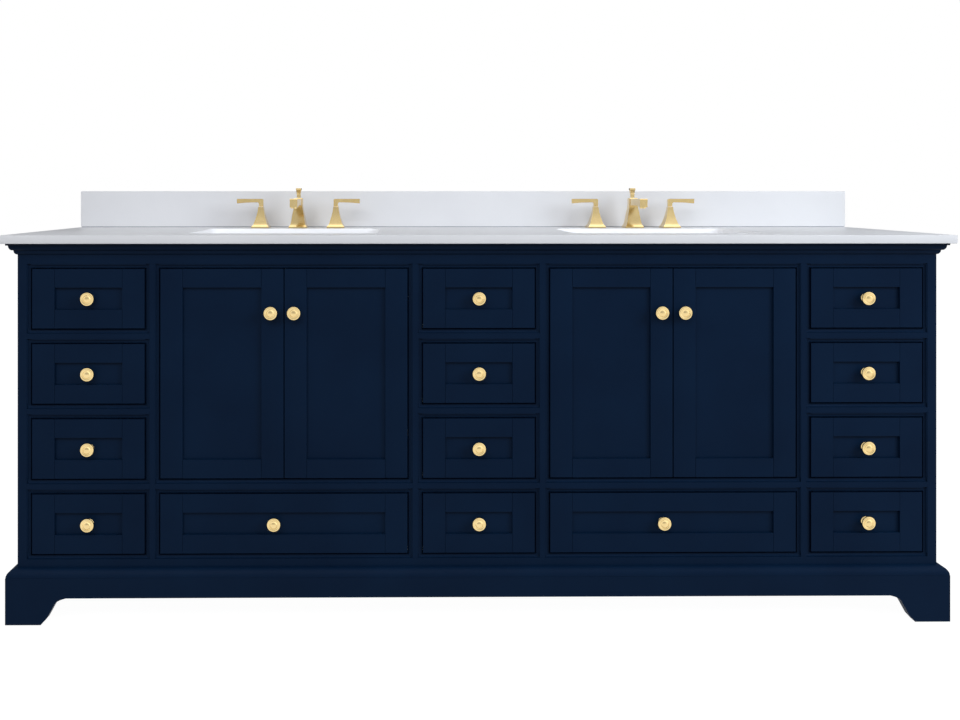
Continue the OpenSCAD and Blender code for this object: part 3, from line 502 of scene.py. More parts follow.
def foot_curve():
    """Half a bracket foot, as (distance from the outer edge, height above the floor)."""
    points = [(FOOT_FLAT, GLIDE_H), (92, GLIDE_H + 14), (104, GLIDE_H + 36)]
    a, b, c = (110, GLIDE_H + 46.5), (115, ARCH_Z - 4.5), (135, ARCH_Z)
    for t in (i / 10 for i in range(11)):
        points.append(tuple((1 - t) ** 2 * a[k] + 2 * t * (1 - t) * b[k] + t * t * c[k] for k in (0, 1)))
    return points


def footed_board(piece, starts, ends, near, far, axis):
    """A base board with a bracket foot at each end. near and far are its outer and inner faces. starts and
    ends say where it begins and stops: at the outer face, at the inner one, and for its feet."""
    left = [(starts[2] + d, z) for d, z in foot_curve()]
    right = [(ends[2] - d, z) for d, z in reversed(foot_curve())]
    rings = []
    for level, start, end in zip((near, far), starts, ends):
        top = BASE_TOP - SEAM
        outline = [(end, GLIDE_H), (end, top), (start, top), (start, GLIDE_H)] + left + right
        rings.append([Vector((level, u, z) if axis == 0 else (u, level, z)) for u, z in outline])
    piece.loft(rings, bevel=0.9, limit=38)


def base_plinth():
    piece = Piece("base_plinth", [NAVY])
    outer, inner = BASE[0][1], BODY_X + SEAM
    front, inside = BASE[1][0], FACE_Y - SEAM
    footed_board(piece, (-outer, -inner, -outer), (outer, inner, outer), front, inside, 1)
    for s in (-1, 1):
        starts, ends = (front + 2 * SEAM, inside + 2 * SEAM, FACE_Y), (BACK_Y - SEAM, BACK_Y - SEAM, BACK_Y)
        footed_board(piece, starts, ends, s * outer, s * inner, 0)
    piece.done("base_plinth", smooth=24)


def levelling_feet():
    """Cut-off glue blocks in the corners, two pairs of legs under the floor, and a brass glide under each."""
    blocks = Piece("corner_blocks_and_legs", [BIRCH[2]], slot="birch_plywood")
    glides = Piece("levelling_glides", [BRASS, ZINC])
    outer, side, glide_in = BASE[0][1], BODY_X - SEAM, 26
    block_x, block_d, cut, leg_half, ease = outer - FOOT_FLAT + 3, 57, 18, 25, 1.2
    stem_z = GLIDE_H - SEAM
    pad = [(0, 0), (13.5, 0), (15.1, 0.5), (15.5, 1.5), (15.5, 2.4), (14.9, 3.3), (13, stem_z), (4, stem_z)]
    thread = [(4 - 0.3 * (i % 2), stem_z + i * 0.75) for i in range(12)]
    thread.append((0, thread[-1][1]))
    for s in (-1, 1):
        for edge, inward in ((FACE_Y, 1), (BACK_Y, -1)):
            near, far = edge + inward * SEAM, edge + inward * block_d
            outline = [(s * block_x, near), (s * side, near), (s * side, far), (s * (side - cut), far)]
            blocks.prism(outline, 2, GLIDE_H, SIDE_BOTTOM - SEAM, ease)
        legs = [(s * PARTITION_X[0], leg_y) for leg_y in LEG_Y]
        for x, y in legs:
            corner = (x + leg_half, y + leg_half, FLOOR_Z[0] - SEAM)
            blocks.box((x - leg_half, y - leg_half, GLIDE_H), corner, ease)
        corner_x = s * (outer - glide_in)
        for x, y in [(corner_x, BASE[1][0] + glide_in), (corner_x, BACK_Y - glide_in)] + legs:
            glides.turn(pad, (x, y, 0), UP)
            glides.turn(thread, (x, y, 0), UP, 16, 1)
    blocks.done("levelling_feet")
    glides.done("levelling_feet")


# ---- Carcass ----
PARTITION_X = (143.6, 734.8)
CARCASS_Y0 = FACE_Y + FRAME_T
CARCASS_BACK = BACK_Y - 6
FLOOR_Z = (111, 129)
SIDE_INNER = BODY_X - PANEL_T
SHELF_TOP = OPENINGS[-1][2]
RAIL_T = 18
UPRIGHTS = (-PARTITION_X[1], -PARTITION_X[0], *PARTITION_X)
BAYS = list(zip([-SIDE_INNER] + [x + PANEL_T / 2 for x in UPRIGHTS],
                [x - PANEL_T / 2 for x in UPRIGHTS] + [SIDE_INNER]))


def shell_board(piece, corner, opposite, axis, sign, ease=0.6):
    """A board that is painted (material 0) on the face that axis and sign name, and bare elsewhere."""
    first = len(piece.bm.faces)
    piece.box(corner, opposite, ease, 1)
    limit = max(sign * corner[axis], sign * opposite[axis]) - 1.5 * ease
    for face in list(piece.bm.faces)[first:]:
        if sign * face.calc_center_median()[axis] > limit:
            face.material_index = 0


def side_panels():
    piece = Piece("side_panels", [NAVY, BIRCH[2]])
    for s in (-1, 1):
        inside = (s * SIDE_INNER, CARCASS_Y0, SIDE_BOTTOM)
        shell_board(piece, inside, (s * BODY_X, BACK_Y, CARCASS_TOP), 0, s)
    piece.done("side_panels_and_partitions")


def partitions():
    """The four uprights between the bays, and the strips that pack out the outer runners."""
    piece = Piece("partitions", [NAVY, BIRCH[1]])
    half = PANEL_T / 2
    for x in UPRIGHTS:
        low = (x - half, CARCASS_Y0, FLOOR_Z[1] + SEAM)
        piece.box(low, (x + half, CARCASS_BACK - SEAM, CARCASS_TOP))
    for name in DRAWERS:
        if "middle" in name:
            continue
        x0, x1, z0, _ = opening(name)
        s = math.copysign(1, x0)
        low = (s * (max(abs(x0), abs(x1)) + PANEL_REVEAL), RUNNER_Y, z0 + BOX_LIFT + CHANNEL_BOTTOM)
        piece.box(low, (s * (SIDE_INNER - SEAM), RUNNER_Y + RUNNER_LEN, low[2] + CHANNEL_H), 0.4, 1)
    piece.done("side_panels_and_partitions")


def floor_and_shelves():
    piece = Piece("cabinet_floor_and_shelves", [NAVY])
    reach, back = SIDE_INNER - SEAM, CARCASS_BACK - SEAM
    piece.box((-reach, CARCASS_Y0, FLOOR_Z[0]), (reach, back, FLOOR_Z[1]))
    for x0, x1 in (BAYS[1], BAYS[3]):
        piece.box((x0 + SEAM, CARCASS_Y0, SHELF_TOP - PANEL_T), (x1 - SEAM, back, SHELF_TOP))
    piece.done("cabinet_floor_and_shelves")


def back_spans():
    """Limits in X of the back boards: whole behind the drawer bays, two strips behind each sink bay."""
    inner, outer = PARTITION_X
    middle, gap = (inner + outer) / 2, 180
    right = [(inner + 2 * SEAM, middle - gap), (middle + gap, outer - 2 * SEAM), (outer, SIDE_INNER - SEAM)]
    return [(-inner, inner)] + right + [(-b, -a) for a, b in right]


def backs_and_stretchers():
    """The back boards, painted inside, and the rails that hold the uprights at their tops."""
    backs = Piece("back_panels", [NAVY, BIRCH[2]], slot="birch_plywood")
    rails = Piece("stretchers", [NAVY])
    y1 = CARCASS_BACK - SEAM
    for i, (x0, x1) in enumerate(BAYS):
        a, b, has_sink = x0 + SEAM, x1 - SEAM, i in (1, 3)
        wall_rail_h = 120 if has_sink else 80
        rails.box((a, CARCASS_Y0, CARCASS_TOP - 40), (b, CARCASS_Y0 + RAIL_T, CARCASS_TOP))
        rails.box((a, y1 - RAIL_T, CARCASS_TOP - wall_rail_h), (b, y1, CARCASS_TOP))
        if has_sink:
            rails.box((a, y1 - RAIL_T, FLOOR_Z[1] + SEAM), (b, y1, FLOOR_Z[1] + 55))
    for x0, x1 in back_spans():
        shell_board(backs, (x0, CARCASS_BACK, FLOOR_Z[0]), (x1, BACK_Y, CARCASS_TOP), 1, -1, 0.4)
    backs.done("back_panels_and_stretchers")
    rails.done("back_panels_and_stretchers")


# ---- Countertop, backsplash and basins ----
SINKS = {side: sum(spans(f"{side}_stopper")[0]) / 2 for side in ("left", "right")}
BASIN_Y = -17
BASIN_W, BASIN_D, BASIN_R = 445, 305, 32
BASIN_FLOOR = CARCASS_TOP - 150
DRAIN_Y = sum(spans("left_stopper")[1]) / 2
PIVOT_Z = BASIN_FLOOR - 62
FAUCET_Y = 194.5
HANDLE_GAP = 101.6
HANDLE_FLARE = [(21.2, 6.2), (18.8, 9.5), (16.2, 16.5), (12.6, 28), (9.6, 40), (7.6, 51)]
SPOUT_FLARE = [(22.4, 6.2), (20.2, 10.5), (17.8, 21.5), (15.4, 37), (12.6, 51), (11.6, 60)]


def outline_of_rectangle(x0, x1, y0, y1):
    def contour(inset):
        a, b, c, d = x0 + inset, x1 - inset, y0 + inset, y1 - inset
        return [(a, c), (b, c), (b, d), (a, d)]
    return contour


def outline_of_basin(x, y):
    def contour(inset):
        ring = rounded_ring(x, y, BASIN_W + 2 * inset, BASIN_D + 2 * inset, BASIN_R + inset, 0)
        return [(p.x, p.y) for p in ring]
    return contour


def outline_of_hole(x, y, r):
    def contour(inset):
        return arc(x, y, r + inset, r + inset, 0, 360 * 31 / 32, 31)
    return contour


def countertop():
    piece = Piece("countertop", [QUARTZ, PAINTED_LIGHT_QUARTZ])
    (x0, x1), (y0, y1), (z0, z1) = COUNTER
    contours = [outline_of_rectangle(x0, x1, y0, y1)]
    for x in SINKS.values():
        contours.append(outline_of_basin(x, BASIN_Y))
        contours += [outline_of_hole(x + dx, FAUCET_Y, 16) for dx in (-HANDLE_GAP, 0, HANDLE_GAP)]
    # The walls of the cut-outs take the brightened quartz (material 1): painted light.
    slab(piece, contours, z0, z1, 1.2, hole_material=1)
    piece.done("countertop", smooth=26)


def backsplash():
    """The splash stands on a thin bead of sealant."""
    piece = Piece("backsplash", [QUARTZ, SILICONE])
    (x0, x1), (y0, y1), (z0, z1) = SPLASH
    joint_z = z0 + 1.6
    piece.box((x0, y0, joint_z), (x1, y1, z1), 0.8)
    piece.box((x0 + 2, y0 + 0.5, z0), (x1 - 2, y1 - 1, joint_z), 0.3, 1)
    piece.done("backsplash")


def basin(piece, x):
    """A thin-walled bowl: a flange, and walls that round into a floor that falls to the drain."""
    top, under, sweep_r, hole_r, count = CARCASS_TOP - 0.2, BASIN_FLOOR - 9, 38, 22, 36

    def levels(rows):
        """Rounded rectangles from (growth of the bowl's half-size, growth of its corners, height)."""
        return [rounded_ring(x, BASIN_Y, BASIN_W + 2 * grow, BASIN_D + 2 * grow, BASIN_R + r, z)
                for grow, r, z in rows]

    def circles(rows):
        return [circle_ring(x, DRAIN_Y, hole_r + grow, BASIN_FLOOR + up, count) for grow, up in rows]

    sweep = [math.radians(90 * i / 8) for i in range(1, 9)]
    rings = levels([(2, 2, top), (1.5, 1, top - 2), (-2, 0, top - 40), (-6, 0, top - 90)])
    rings += levels([(-8 - sweep_r * (1 - math.cos(a)), 4 * math.sin(a),
                      BASIN_FLOOR + 5 + sweep_r * (1 - math.sin(a))) for a in sweep])
    edge = rings[-1]
    hole = circles([(4, 0.4), (1, -0.2), (0, -1.2), (0, -12), (14, -12)])
    rings += [[p.lerp(q, i / 6) for p, q in zip(edge, hole[0])] for i in range(1, 6)] + hole
    rings += levels([(-40, 0, under), (-14, 4, under + 8), (-1, 8, under + 34), (6, 8, top - 60),
                     (9, 8, top - 14), (12, 10, top - 12), (23, 10, top - 11.5), (25, 10, top - 9),
                     (25, 10, top - 1), (24, 9, top)])
    piece.loft(rings, closed=True)


def sink_basins():
    for side, x in SINKS.items():
        piece = Piece(f"{side}_basin", [CERAMIC])
        basin(piece, x)
        piece.done("sink_basins", smooth=50)


def tube(piece, centre, outside, inside, material=0, segments=40):
    """A hollow turned part on a vertical axis: outside and inside are pairs of radius and height."""
    piece.turn(outside + inside[::-1] + [outside[0]], centre, UP, segments, material)


def nut(piece, x, y, r, bore, z, h, sides=8):
    """A flat nut with chamfered flats, round a bore."""
    angles = [2 * math.pi * i / sides for i in range(sides)]
    profile = ((bore, 0), (r - 2, 0), (r, 1.5), (r, h - 1.5), (r - 2, h), (bore, h))
    rings = [[Vector((x + radius * math.cos(a), y + radius * math.sin(a), z + up)) for a in angles]
             for radius, up in profile]
    piece.loft(rings, closed=True)


def drains():
    """The drain bodies with their flanges, side collars, nuts and tailpieces."""
    low = -80
    flange = [(29, 0.2), (29, 1.2), (27.5, 2.3), (24, 2.7), (20.5, 2.2), (17.5, 0.2), (16.5, -3)]
    collar = [(9, 19), (9, 31.5), (8, 33), (6.2, 33), (6.2, 19)]
    tail = [(15.9, low - 92), (15.9, low - 2), (15.5, low - 1.5), (15.5, low + 12)]
    for side, x in SINKS.items():
        piece = Piece(f"{side}_drain", [BRASS])
        centre = (x, DRAIN_Y, BASIN_FLOOR)
        tube(piece, centre, [(20.5, low), (20.5, 0)] + flange, [(16.5, low)])
        piece.turn(collar + collar[:1], (x, DRAIN_Y, PIVOT_Z), BACKWARD, 24)
        nut(piece, x, DRAIN_Y, 32, 20.7, BASIN_FLOOR - 22.2, 10)
        tube(piece, centre, tail, [(14.4, low - 92), (14.4, low + 12)])
        piece.done("drain_fittings")


def stoppers():
    for side, x in SINKS.items():
        body = f"{side}_stopper"
        piece = Piece(body, [BRASS], body)
        low, high = spans(body)[2]
        cap, rim = high - 5, high - 4.2
        profile = [(0, low), (4, low), (4, cap - 1), (12, cap), (18.6, cap)] + arc(0, rim, 20, 4.2, 0, 90, 10)
        piece.turn(profile, (x, DRAIN_Y, 0), UP)
        piece.done(body, smooth=40)


# ---- Faucets ----
def squares(outline, x, y, z):
    """Rings for a solid whose every level is a square, from pairs of half-width and height."""
    return [[Vector((x + sx * h, y + sy * h, z + up)) for sx, sy in ((-1, -1), (1, -1), (1, 1), (-1, 1))]
            for h, up in outline]


def smooth_outline(knots, steps=3):
    """Passes a Catmull-Rom curve through pairs, so that a flare has a true curve."""
    points = []
    for i in range(len(knots) - 1):
        p0, p1 = knots[max(i - 1, 0)], knots[i]
        p2, p3 = knots[i + 1], knots[min(i + 2, len(knots) - 1)]
        for k in range(steps):
            t = k / steps
            points.append(tuple(0.5 * (2 * p1[j] + (p2[j] - p0[j]) * t
                                       + (2 * p0[j] - 5 * p1[j] + 4 * p2[j] - p3[j]) * t * t
                                       + (3 * p1[j] - p0[j] - 3 * p2[j] + p3[j]) * t ** 3) for j in (0, 1)))
    return points + [knots[-1]]


def flared_block(piece, x, z, foot, flare, top):
    """A square foot plate, a concave flare, and a small block on top."""
    outline = [(foot, 0), (foot, 3.6), (foot - 0.7, 4.4)] + smooth_outline(flare) + top
    piece.loft(squares(outline, x, FAUCET_Y, z), bevel=0.7, limit=45)


def spout_arm(piece, x, z):
    """A flat arm that reaches over the basin, thickens towards its tip and turns down to the aerator."""
    reach, half, back, top = 120, 10, 5, 79.4
    under = smooth_outline([(-10, 60.5), (-50, 62), (-92, 61), (-108, 57.5), (-reach, 57)], 4)
    profile = [(back, 60.5)] + under + [(-reach, 78), (1.2 - reach, top), (back, top)]
    profile = [(FAUCET_Y + u, z + v) for u, v in profile]
    piece.prism(profile, 0, x - half, x + half, 0.9, steps=2, limit=45)
    aerator = [(0, 0.4), (6.4, 0.4), (6.4, 0), (7.6, 0), (8, 0.5), (8, 5), (0, 5)]
    piece.turn(aerator, (x, FAUCET_Y - reach + 11, z + 54), UP, 32)


def shank(piece, x, r, bore, length):
    """The threaded tube that passes through the countertop, with its nut."""
    low, pitch = COUNTER_TOP - length, 1.5
    outside = [(r - 0.6, low), (r, low + 0.8)]
    for start in (low + 0.8 + i * pitch for i in range(int((length - 22) / pitch))):
        outside += [(r, start + 0.35 * pitch), (r - 0.5, start + 0.85 * pitch)]
    outside.append((r - 0.4, COUNTER_TOP))
    tube(piece, (x, FAUCET_Y, 0), outside, [(bore, low), (bore, COUNTER_TOP - 1)], 1, 28)
    nut(piece, x, FAUCET_Y, 22, r + 0.2, CARCASS_TOP - 8.2, 8, 6)


def faucets():
    z = COUNTER_TOP + 0.15
    for side, x in SINKS.items():
        for handle_x, word in ((x - HANDLE_GAP, "hot"), (x + HANDLE_GAP, "cold")):
            piece = Piece(f"{side}_{word}_handle_body", [BRASS, ZINC])
            flared_block(piece, handle_x, z, 23.5, HANDLE_FLARE, [(7.4, 54), (6.9, 56.9)])
            shank(piece, handle_x, 10.4, 7.4, 75)
            piece.done("faucet_bodies", smooth=26)
        piece = Piece(f"{side}_spout", [BRASS, ZINC])
        flared_block(piece, x, z, 24.5, SPOUT_FLARE, [(11.5, 64), (11.5, 79.4), (10, 81)])
        spout_arm(piece, x, z)
        shank(piece, x, 14, 11, 60)
        piece.done("faucet_bodies", smooth=26)


def lever(name, direction):
    """A lever bar that thickens a little towards its free end, with a short neck on a turned collar."""
    piece = Piece(name, [BRASS], name)
    (x0, x1), (y0, y1), (z0, z1) = spans(name)
    y, half = (y0 + y1) / 2, 5.6
    axis_x = x0 + 9 if direction > 0 else x1 - 9
    collar = [(0, 0), (6.6, 0), (7, 0.5), (7, 2.4), (5.2, 3), (0, 3)]
    piece.turn(collar, (axis_x, y, z0 + 0.1), UP, 32)
    inner, neck, tip, curve, neck_z = -6.2, 5.4, 65, 4.5, z0 + 2.4
    low_in, low_out = z1 - 9.6, z1 - 12.4
    profile = [(inner, neck_z), (neck, neck_z)]
    profile += arc(neck + curve, low_in - curve, curve, curve, 180, 90, 6)
    profile += [(40, low_in - 0.8), (tip - 1, low_out), (tip, low_out + 0.8), (tip, z1 - 0.8),
                (tip - 0.8, z1), (inner + 3, z1), (inner, z1 - 2.4)]
    outline = [(axis_x + direction * u, v) for u, v in profile]
    piece.prism(outline, 1, y - half, y + half, 0.8, steps=2, limit=40)
    piece.done(name, smooth=26)


def lift_rod(side, x):
    """A square knob on a thin rod, with a clamp and a slotted strap for the pivot rod under the top."""
    name = f"{side}_lift_rod"
    piece = Piece(name, [BRASS, ZINC], name)
    _, (y0, y1), (z0, z1) = spans(name)
    y, low = (y0 + y1) / 2, 735
    pull = [(5.5, -25.5), (5.5, -22.4), (5.1, -21.4), (5.1, -17.5), (5.5, -12.5), (6.1, -8), (7.2, -4.2),
            (7.2, -0.7), (6.4, 0)]
    piece.loft(squares(pull, x, y, z1), bevel=0.5, limit=45)
    piece.rod((x, y, low), UP, 2.5, z1 - 24 - low)
    piece.box((x - 6, y - 4, low - 2), (x + 6, y + 4, low + 12), 0.8, 1)
    strap = ((-7, -3, z0, low), (3, 7, z0, low), (-3, 3, z0, PIVOT_Z - 5), (-3, 3, PIVOT_Z + 5, low))
    for a, b, bottom, top in strap:
        piece.box((x + a, y - 0.8, bottom), (x + b, y + 0.8, top), 0.25, 1)
    piece.done(name)


def pivot_rod(side, x):
    """The ball in the drain's side collar, and the rod through it."""
    name = f"{side}_pivot_rod"
    piece = Piece(name, [ZINC], name)
    _, (y0, y1), (z0, z1) = spans(name)
    centre, ball_r = (x, DRAIN_Y + 22, (z0 + z1) / 2), 5.5
    a, b = y0 - centre[1], y1 - centre[1]
    piece.turn(arc(0, 0, ball_r, ball_r, -90, 90, 14), centre, BACKWARD, 28)
    piece.turn([(0, a), (1.4, a), (2, a + 0.8), (2, b - 0.8), (1.4, b), (0, b)], centre, BACKWARD, 16)
    piece.done(name, smooth=50)


# ---- Doors and drawers ----
def rails_and_panel(piece, name):
    """The two rails between a front's stiles, with narrow grooves at the joints, and the panel behind."""
    (x0, x1), (y0, _), (z0, z1) = spans(name)
    y1 = y0 + FRONT_T
    left, right = x0 + STILE_W + SEAM, x1 - STILE_W - SEAM
    for a, b in ((z0, z0 + RAIL_W), (z1 - RAIL_W, z1)):
        piece.box((left + JOINT, y0, a), (right - JOINT, y1, b), FRONT_EASE)
        # Behind each joint groove, a filler in the darkened navy (material 1): painted shade.
        piece.box((left, y0 + 1.5, a + 0.3), (right, y1 - 0.2, b - 0.3), 0.1, 1)
    low = (left, y0 + PANEL_RECESS, z0 + RAIL_W + SEAM)
    piece.box(low, (right, y1 - 0.1, z1 - RAIL_W - SEAM), 0.2)


def shade_edges(piece, name):
    """Gives the outer edges of a front, which face a narrow gap, painted shade: the darkened navy (material
    1).
    """
    (x0, x1), _, (z0, z1) = spans(name)
    for face in piece.bm.faces:
        c = face.calc_center_median()
        if min(abs(c.x - x0), abs(c.x - x1), abs(c.z - z0), abs(c.z - z1)) < 0.03:
            face.material_index = 1


def knob(name, x, y, z, screw_end):
    """A turned knob: collar, waist, and a face with a rounded rim, a groove and a low dome. Its screw's head
    is at screw_end."""
    piece = Piece(f"{name}_knob", [BRASS, ZINC], name)
    stem = [(0, 0), (10.2, 0), (10.5, 0.3), (10.5, 1.6), (10.1, 2.1)] + arc(10, 5, 3, 2.8, 240, 180, 2)
    stem += [(7, 7.4), (7.4, 8.9), (8.9, 10.8), (11.2, 12.4), (13.4, 13.4)]
    rim = arc(13.3, 15.2, 1.9, 1.9, -70, 0, 4) + arc(12.3, 17, 2.9, 2.2, 0, 100, 7)
    groove = [(10.8, 18.8), (10.1, 18.4), (9.3, 18.4), (8.7, 18.7)]
    dome = arc(0, 18.8, 8.2, 3.2, 12, 90, 8)
    piece.turn(stem + rim + groove + dome, (x, y, z), (0, -1, 0), 48)
    head = [(0, 2.5), (2.6, 2.5), (4.1, 1.6), (4.5, 0.6), (4.5, 0.1), (2, 0.1), (2, -3), (0, -3)]
    piece.turn(head, (x, screw_end, z), BACKWARD, 24, 1)
    piece.done(f"{name}_hardware", smooth=50)


def screw_head(piece, centre, axis, r=3.6):
    """A pan head with a hexagon socket."""
    h = 0.42 * r
    head = [(r, 0), (r, 0.35 * h), (0.86 * r, 0.8 * h), (0.6 * r, h), (0.42 * r, h), (0.42 * r, 0.35 * h)]
    piece.turn(head + [(0, 0.3 * h)], centre, axis, 18)


def box_side(piece, x0, x1, y0, y1, z0, z1):
    """A drawer side (material 0) whose tails lock round the end grain of the pins (material 2)."""
    pitch = (z1 - z0) / 4
    wide, narrow = 5.4, 3.2

    def end(y, deep):
        walk = [(deep, z0)]
        for low, high in ((z0 + pitch * i, z0 + pitch * (i + 1)) for i in range(4)):
            walk += [(deep, low + wide), (y, low + narrow), (y, high - narrow), (deep, high - wide)]
        return walk + [(deep, z1)]

    ends = ((y0, y0 + BOX_SIDE_T), (y1, y1 - BOX_SIDE_T))
    piece.prism(end(*ends[0]) + end(*ends[1])[::-1], 0, x0, x1, 0.25, limit=10)
    for y, deep in ends:
        for middle in (z0 + pitch * i for i in range(5)):
            pin = [(y, middle - narrow), (y, middle + narrow), (deep, middle + wide), (deep, middle - wide)]
            piece.prism([(u, min(max(v, z0), z1)) for u, v in pin], 0, x0, x1, 0.2, 2)


def drawer_box(name):
    """A dovetailed box: two sides, a front, a back and a plywood bottom."""
    piece = Piece(f"{name}_box", [MAPLE[1], MAPLE[0], END_GRAIN, BIRCH[0]], name, slot="birch_plywood")
    x0, x1, z0, _ = opening(name)
    z0 += BOX_LIFT
    z1, y0, y1 = z0 + BOX_H, FRONTS_BACK_Y + 2 * SEAM, spans(name)[1][1]
    left, right = x0 - PANEL_REVEAL + RUNNER_ROOM, x1 + PANEL_REVEAL - RUNNER_ROOM
    a, b = left + BOX_SIDE_T, right - BOX_SIDE_T
    box_side(piece, left, a, y0, y1, z0, z1)
    box_side(piece, b, right, y0, y1, z0, z1)
    a, b, inner_y0, inner_y1 = a + SEAM, b - SEAM, y0 + BOX_SIDE_T, y1 - BOX_SIDE_T
    piece.box((a, y0, z0), (b, inner_y0, z1), 0.9, 1)
    piece.box((a, inner_y1, z0), (b, y1, z1), 0.9, 1)
    low = z0 + BOX_BOTTOM_T
    piece.box((a, inner_y0 + SEAM, low), (b, inner_y1 - SEAM, low + BOX_BOTTOM_T), 0.2, 3)
    piece.done(name)


def runner_sides(name):
    """For each side of a drawer: a function from a distance off the upright to x, the box's lower edge, and
    the direction off the upright."""
    x0, x1, z_open, _ = opening(name)
    z = z_open + BOX_LIFT
    return ((lambda u: x0 - PANEL_REVEAL + u), z, 1), ((lambda u: x1 + PANEL_REVEAL - u), z, -1)


RUNNER_Y = FRONTS_BACK_Y + 1
ROLLER_Z = CHANNEL_BOTTOM + CHANNEL_H / 2
STEEL_T = 1.2
WIDE_KNOB_SHIFT, DOOR_KNOB_SHIFT = 22, 2.5


def roller(piece, x, y, z, direction, r, width):
    """A nylon roller (material 1) with rounded rims and a hub."""
    half = [(0, 0), (0.35 * r, 0), (0.4 * r, 0.4), (0.8 * r, 0.4), (0.86 * r, 0), (r - 0.5, 0), (r, 0.6)]
    profile = half + [(out, width - along) for out, along in half[::-1]]
    piece.turn(profile, (x, y, z), (direction, 0, 0), 32, 1)


def moving_runners(name):
    """The angle under each side of a drawer box, with a roller at its rear end."""
    piece = Piece(f"{name}_runners", [ZINC, NYLON], name)
    side, lip, shelf, low, high = RUNNER_ROOM - 0.1, CHANNEL_D + 0.5, RUNNER_ROOM + 11, -1.3, -0.1
    web, plate, rear = side - STEEL_T, lip + 1.8, RUNNER_Y + RUNNER_LEN - 17
    outline = [(lip, low), (shelf, low), (shelf, high), (side, high), (side, 12), (web, 12), (web, high),
               (lip, high)]
    for x, z, direction in runner_sides(name):
        piece.prism([(x(u), z + v) for u, v in outline], 1, RUNNER_Y, RUNNER_Y + RUNNER_LEN, 0.25)
        roller_z = z + ROLLER_Z
        piece.box((x(plate), rear - 13, roller_z - 8), (x(plate + STEEL_T), rear + 13, z - 0.5), 0.3)
        roller(piece, x(1.9), rear, roller_z, direction, 13.2, 4.6)
        piece.rod((x(lip - 1), rear, roller_z), (direction, 0, 0), 3, 4)
        for y in (30, 120, 330):
            screw_head(piece, (x(web), RUNNER_Y + y, z + 6), (-direction, 0, 0), 3)
    piece.done(f"{name}_hardware")


def fixed_runners():
    """The channel on each upright, with a roller at its front end, for every drawer."""
    piece = Piece("fixed_slide_rails", [ZINC, NYLON])
    low, high, back, web = CHANNEL_BOTTOM, CHANNEL_BOTTOM + CHANNEL_H, SEAM, SEAM + STEEL_T
    outline = [(back, low), (CHANNEL_D, low), (CHANNEL_D, low + STEEL_T), (web, low + STEEL_T),
               (web, high - STEEL_T), (CHANNEL_D, high - STEEL_T), (CHANNEL_D, high), (back, high)]
    y = RUNNER_Y + 15
    for name in DRAWERS + WIDE_DRAWERS:
        for x, z, direction in runner_sides(name):
            piece.prism([(x(u), z + v) for u, v in outline], 1, RUNNER_Y, RUNNER_Y + RUNNER_LEN, 0.3)
            piece.rod((x(web), y, z + ROLLER_Z), (direction, 0, 0), 3, 7.2)
            roller(piece, x(CHANNEL_D + 0.5), y, z + ROLLER_Z, direction, 10, 4.4)
            for dy in (37, 197, 389):
                screw_head(piece, (x(web), RUNNER_Y + dy, z + ROLLER_Z), (direction, 0, 0))
    piece.done("slide_rails_and_hinge_plates")


def drawer(name):
    piece = Piece(f"{name}_front", [NAVY, PAINTED_SHADE], name)
    (x0, x1), (y0, _), (z0, z1) = spans(name)
    for a, b in ((x0, x0 + STILE_W), (x1 - STILE_W, x1)):
        piece.box((a, y0, z0), (b, y0 + FRONT_T, z1), FRONT_EASE)
    rails_and_panel(piece, name)
    shade_edges(piece, name)
    piece.done(name)
    drawer_box(name)
    knob_x = (x0 + x1) / 2 - (WIDE_KNOB_SHIFT if name in WIDE_DRAWERS else 0)
    screw_end = FRONTS_BACK_Y + 2 * SEAM + BOX_SIDE_T
    knob(name, knob_x, FRONTS_Y + PANEL_RECESS, (z0 + z1) / 2, screw_end)
    moving_runners(name)


def hinge_side(name):
    """The x of a door's hinge edge, and the direction from it to the door's middle."""
    (x0, x1), _, _ = spans(name)
    return (x0, 1) if name in ("door_1", "door_3") else (x1, -1)


def cup_heights(name):
    z0, z1 = spans(name)[2]
    return z0 + 80, z1 - 80


def door(name):
    piece = Piece(name, [NAVY, PAINTED_SHADE], name)
    (x0, x1), (y0, _), (z0, z1) = spans(name)
    edge, inward = hinge_side(name)
    cup_x = edge + inward * HINGE_INSET
    for a, b in ((x0, x0 + STILE_W), (x1 - STILE_W, x1)):
        holes = [(cup_x, z, CUP_R, CUP_DEPTH) for z in cup_heights(name)] if a < cup_x < b else []
        stile = [outline_of_rectangle(a, b, z0, z1)]
        slab(piece, stile, y0, FRONTS_BACK_Y, FRONT_EASE, facing_front, holes)
    rails_and_panel(piece, name)
    shade_edges(piece, name)
    piece.done(name)
    far = x1 - STILE_W / 2 if inward > 0 else x0 + STILE_W / 2
    knob(name, far - DOOR_KNOB_SHIFT, FRONTS_Y, z1 - 98.5, FRONTS_BACK_Y)
    hinge_cups(name, cup_x, FRONTS_BACK_Y)


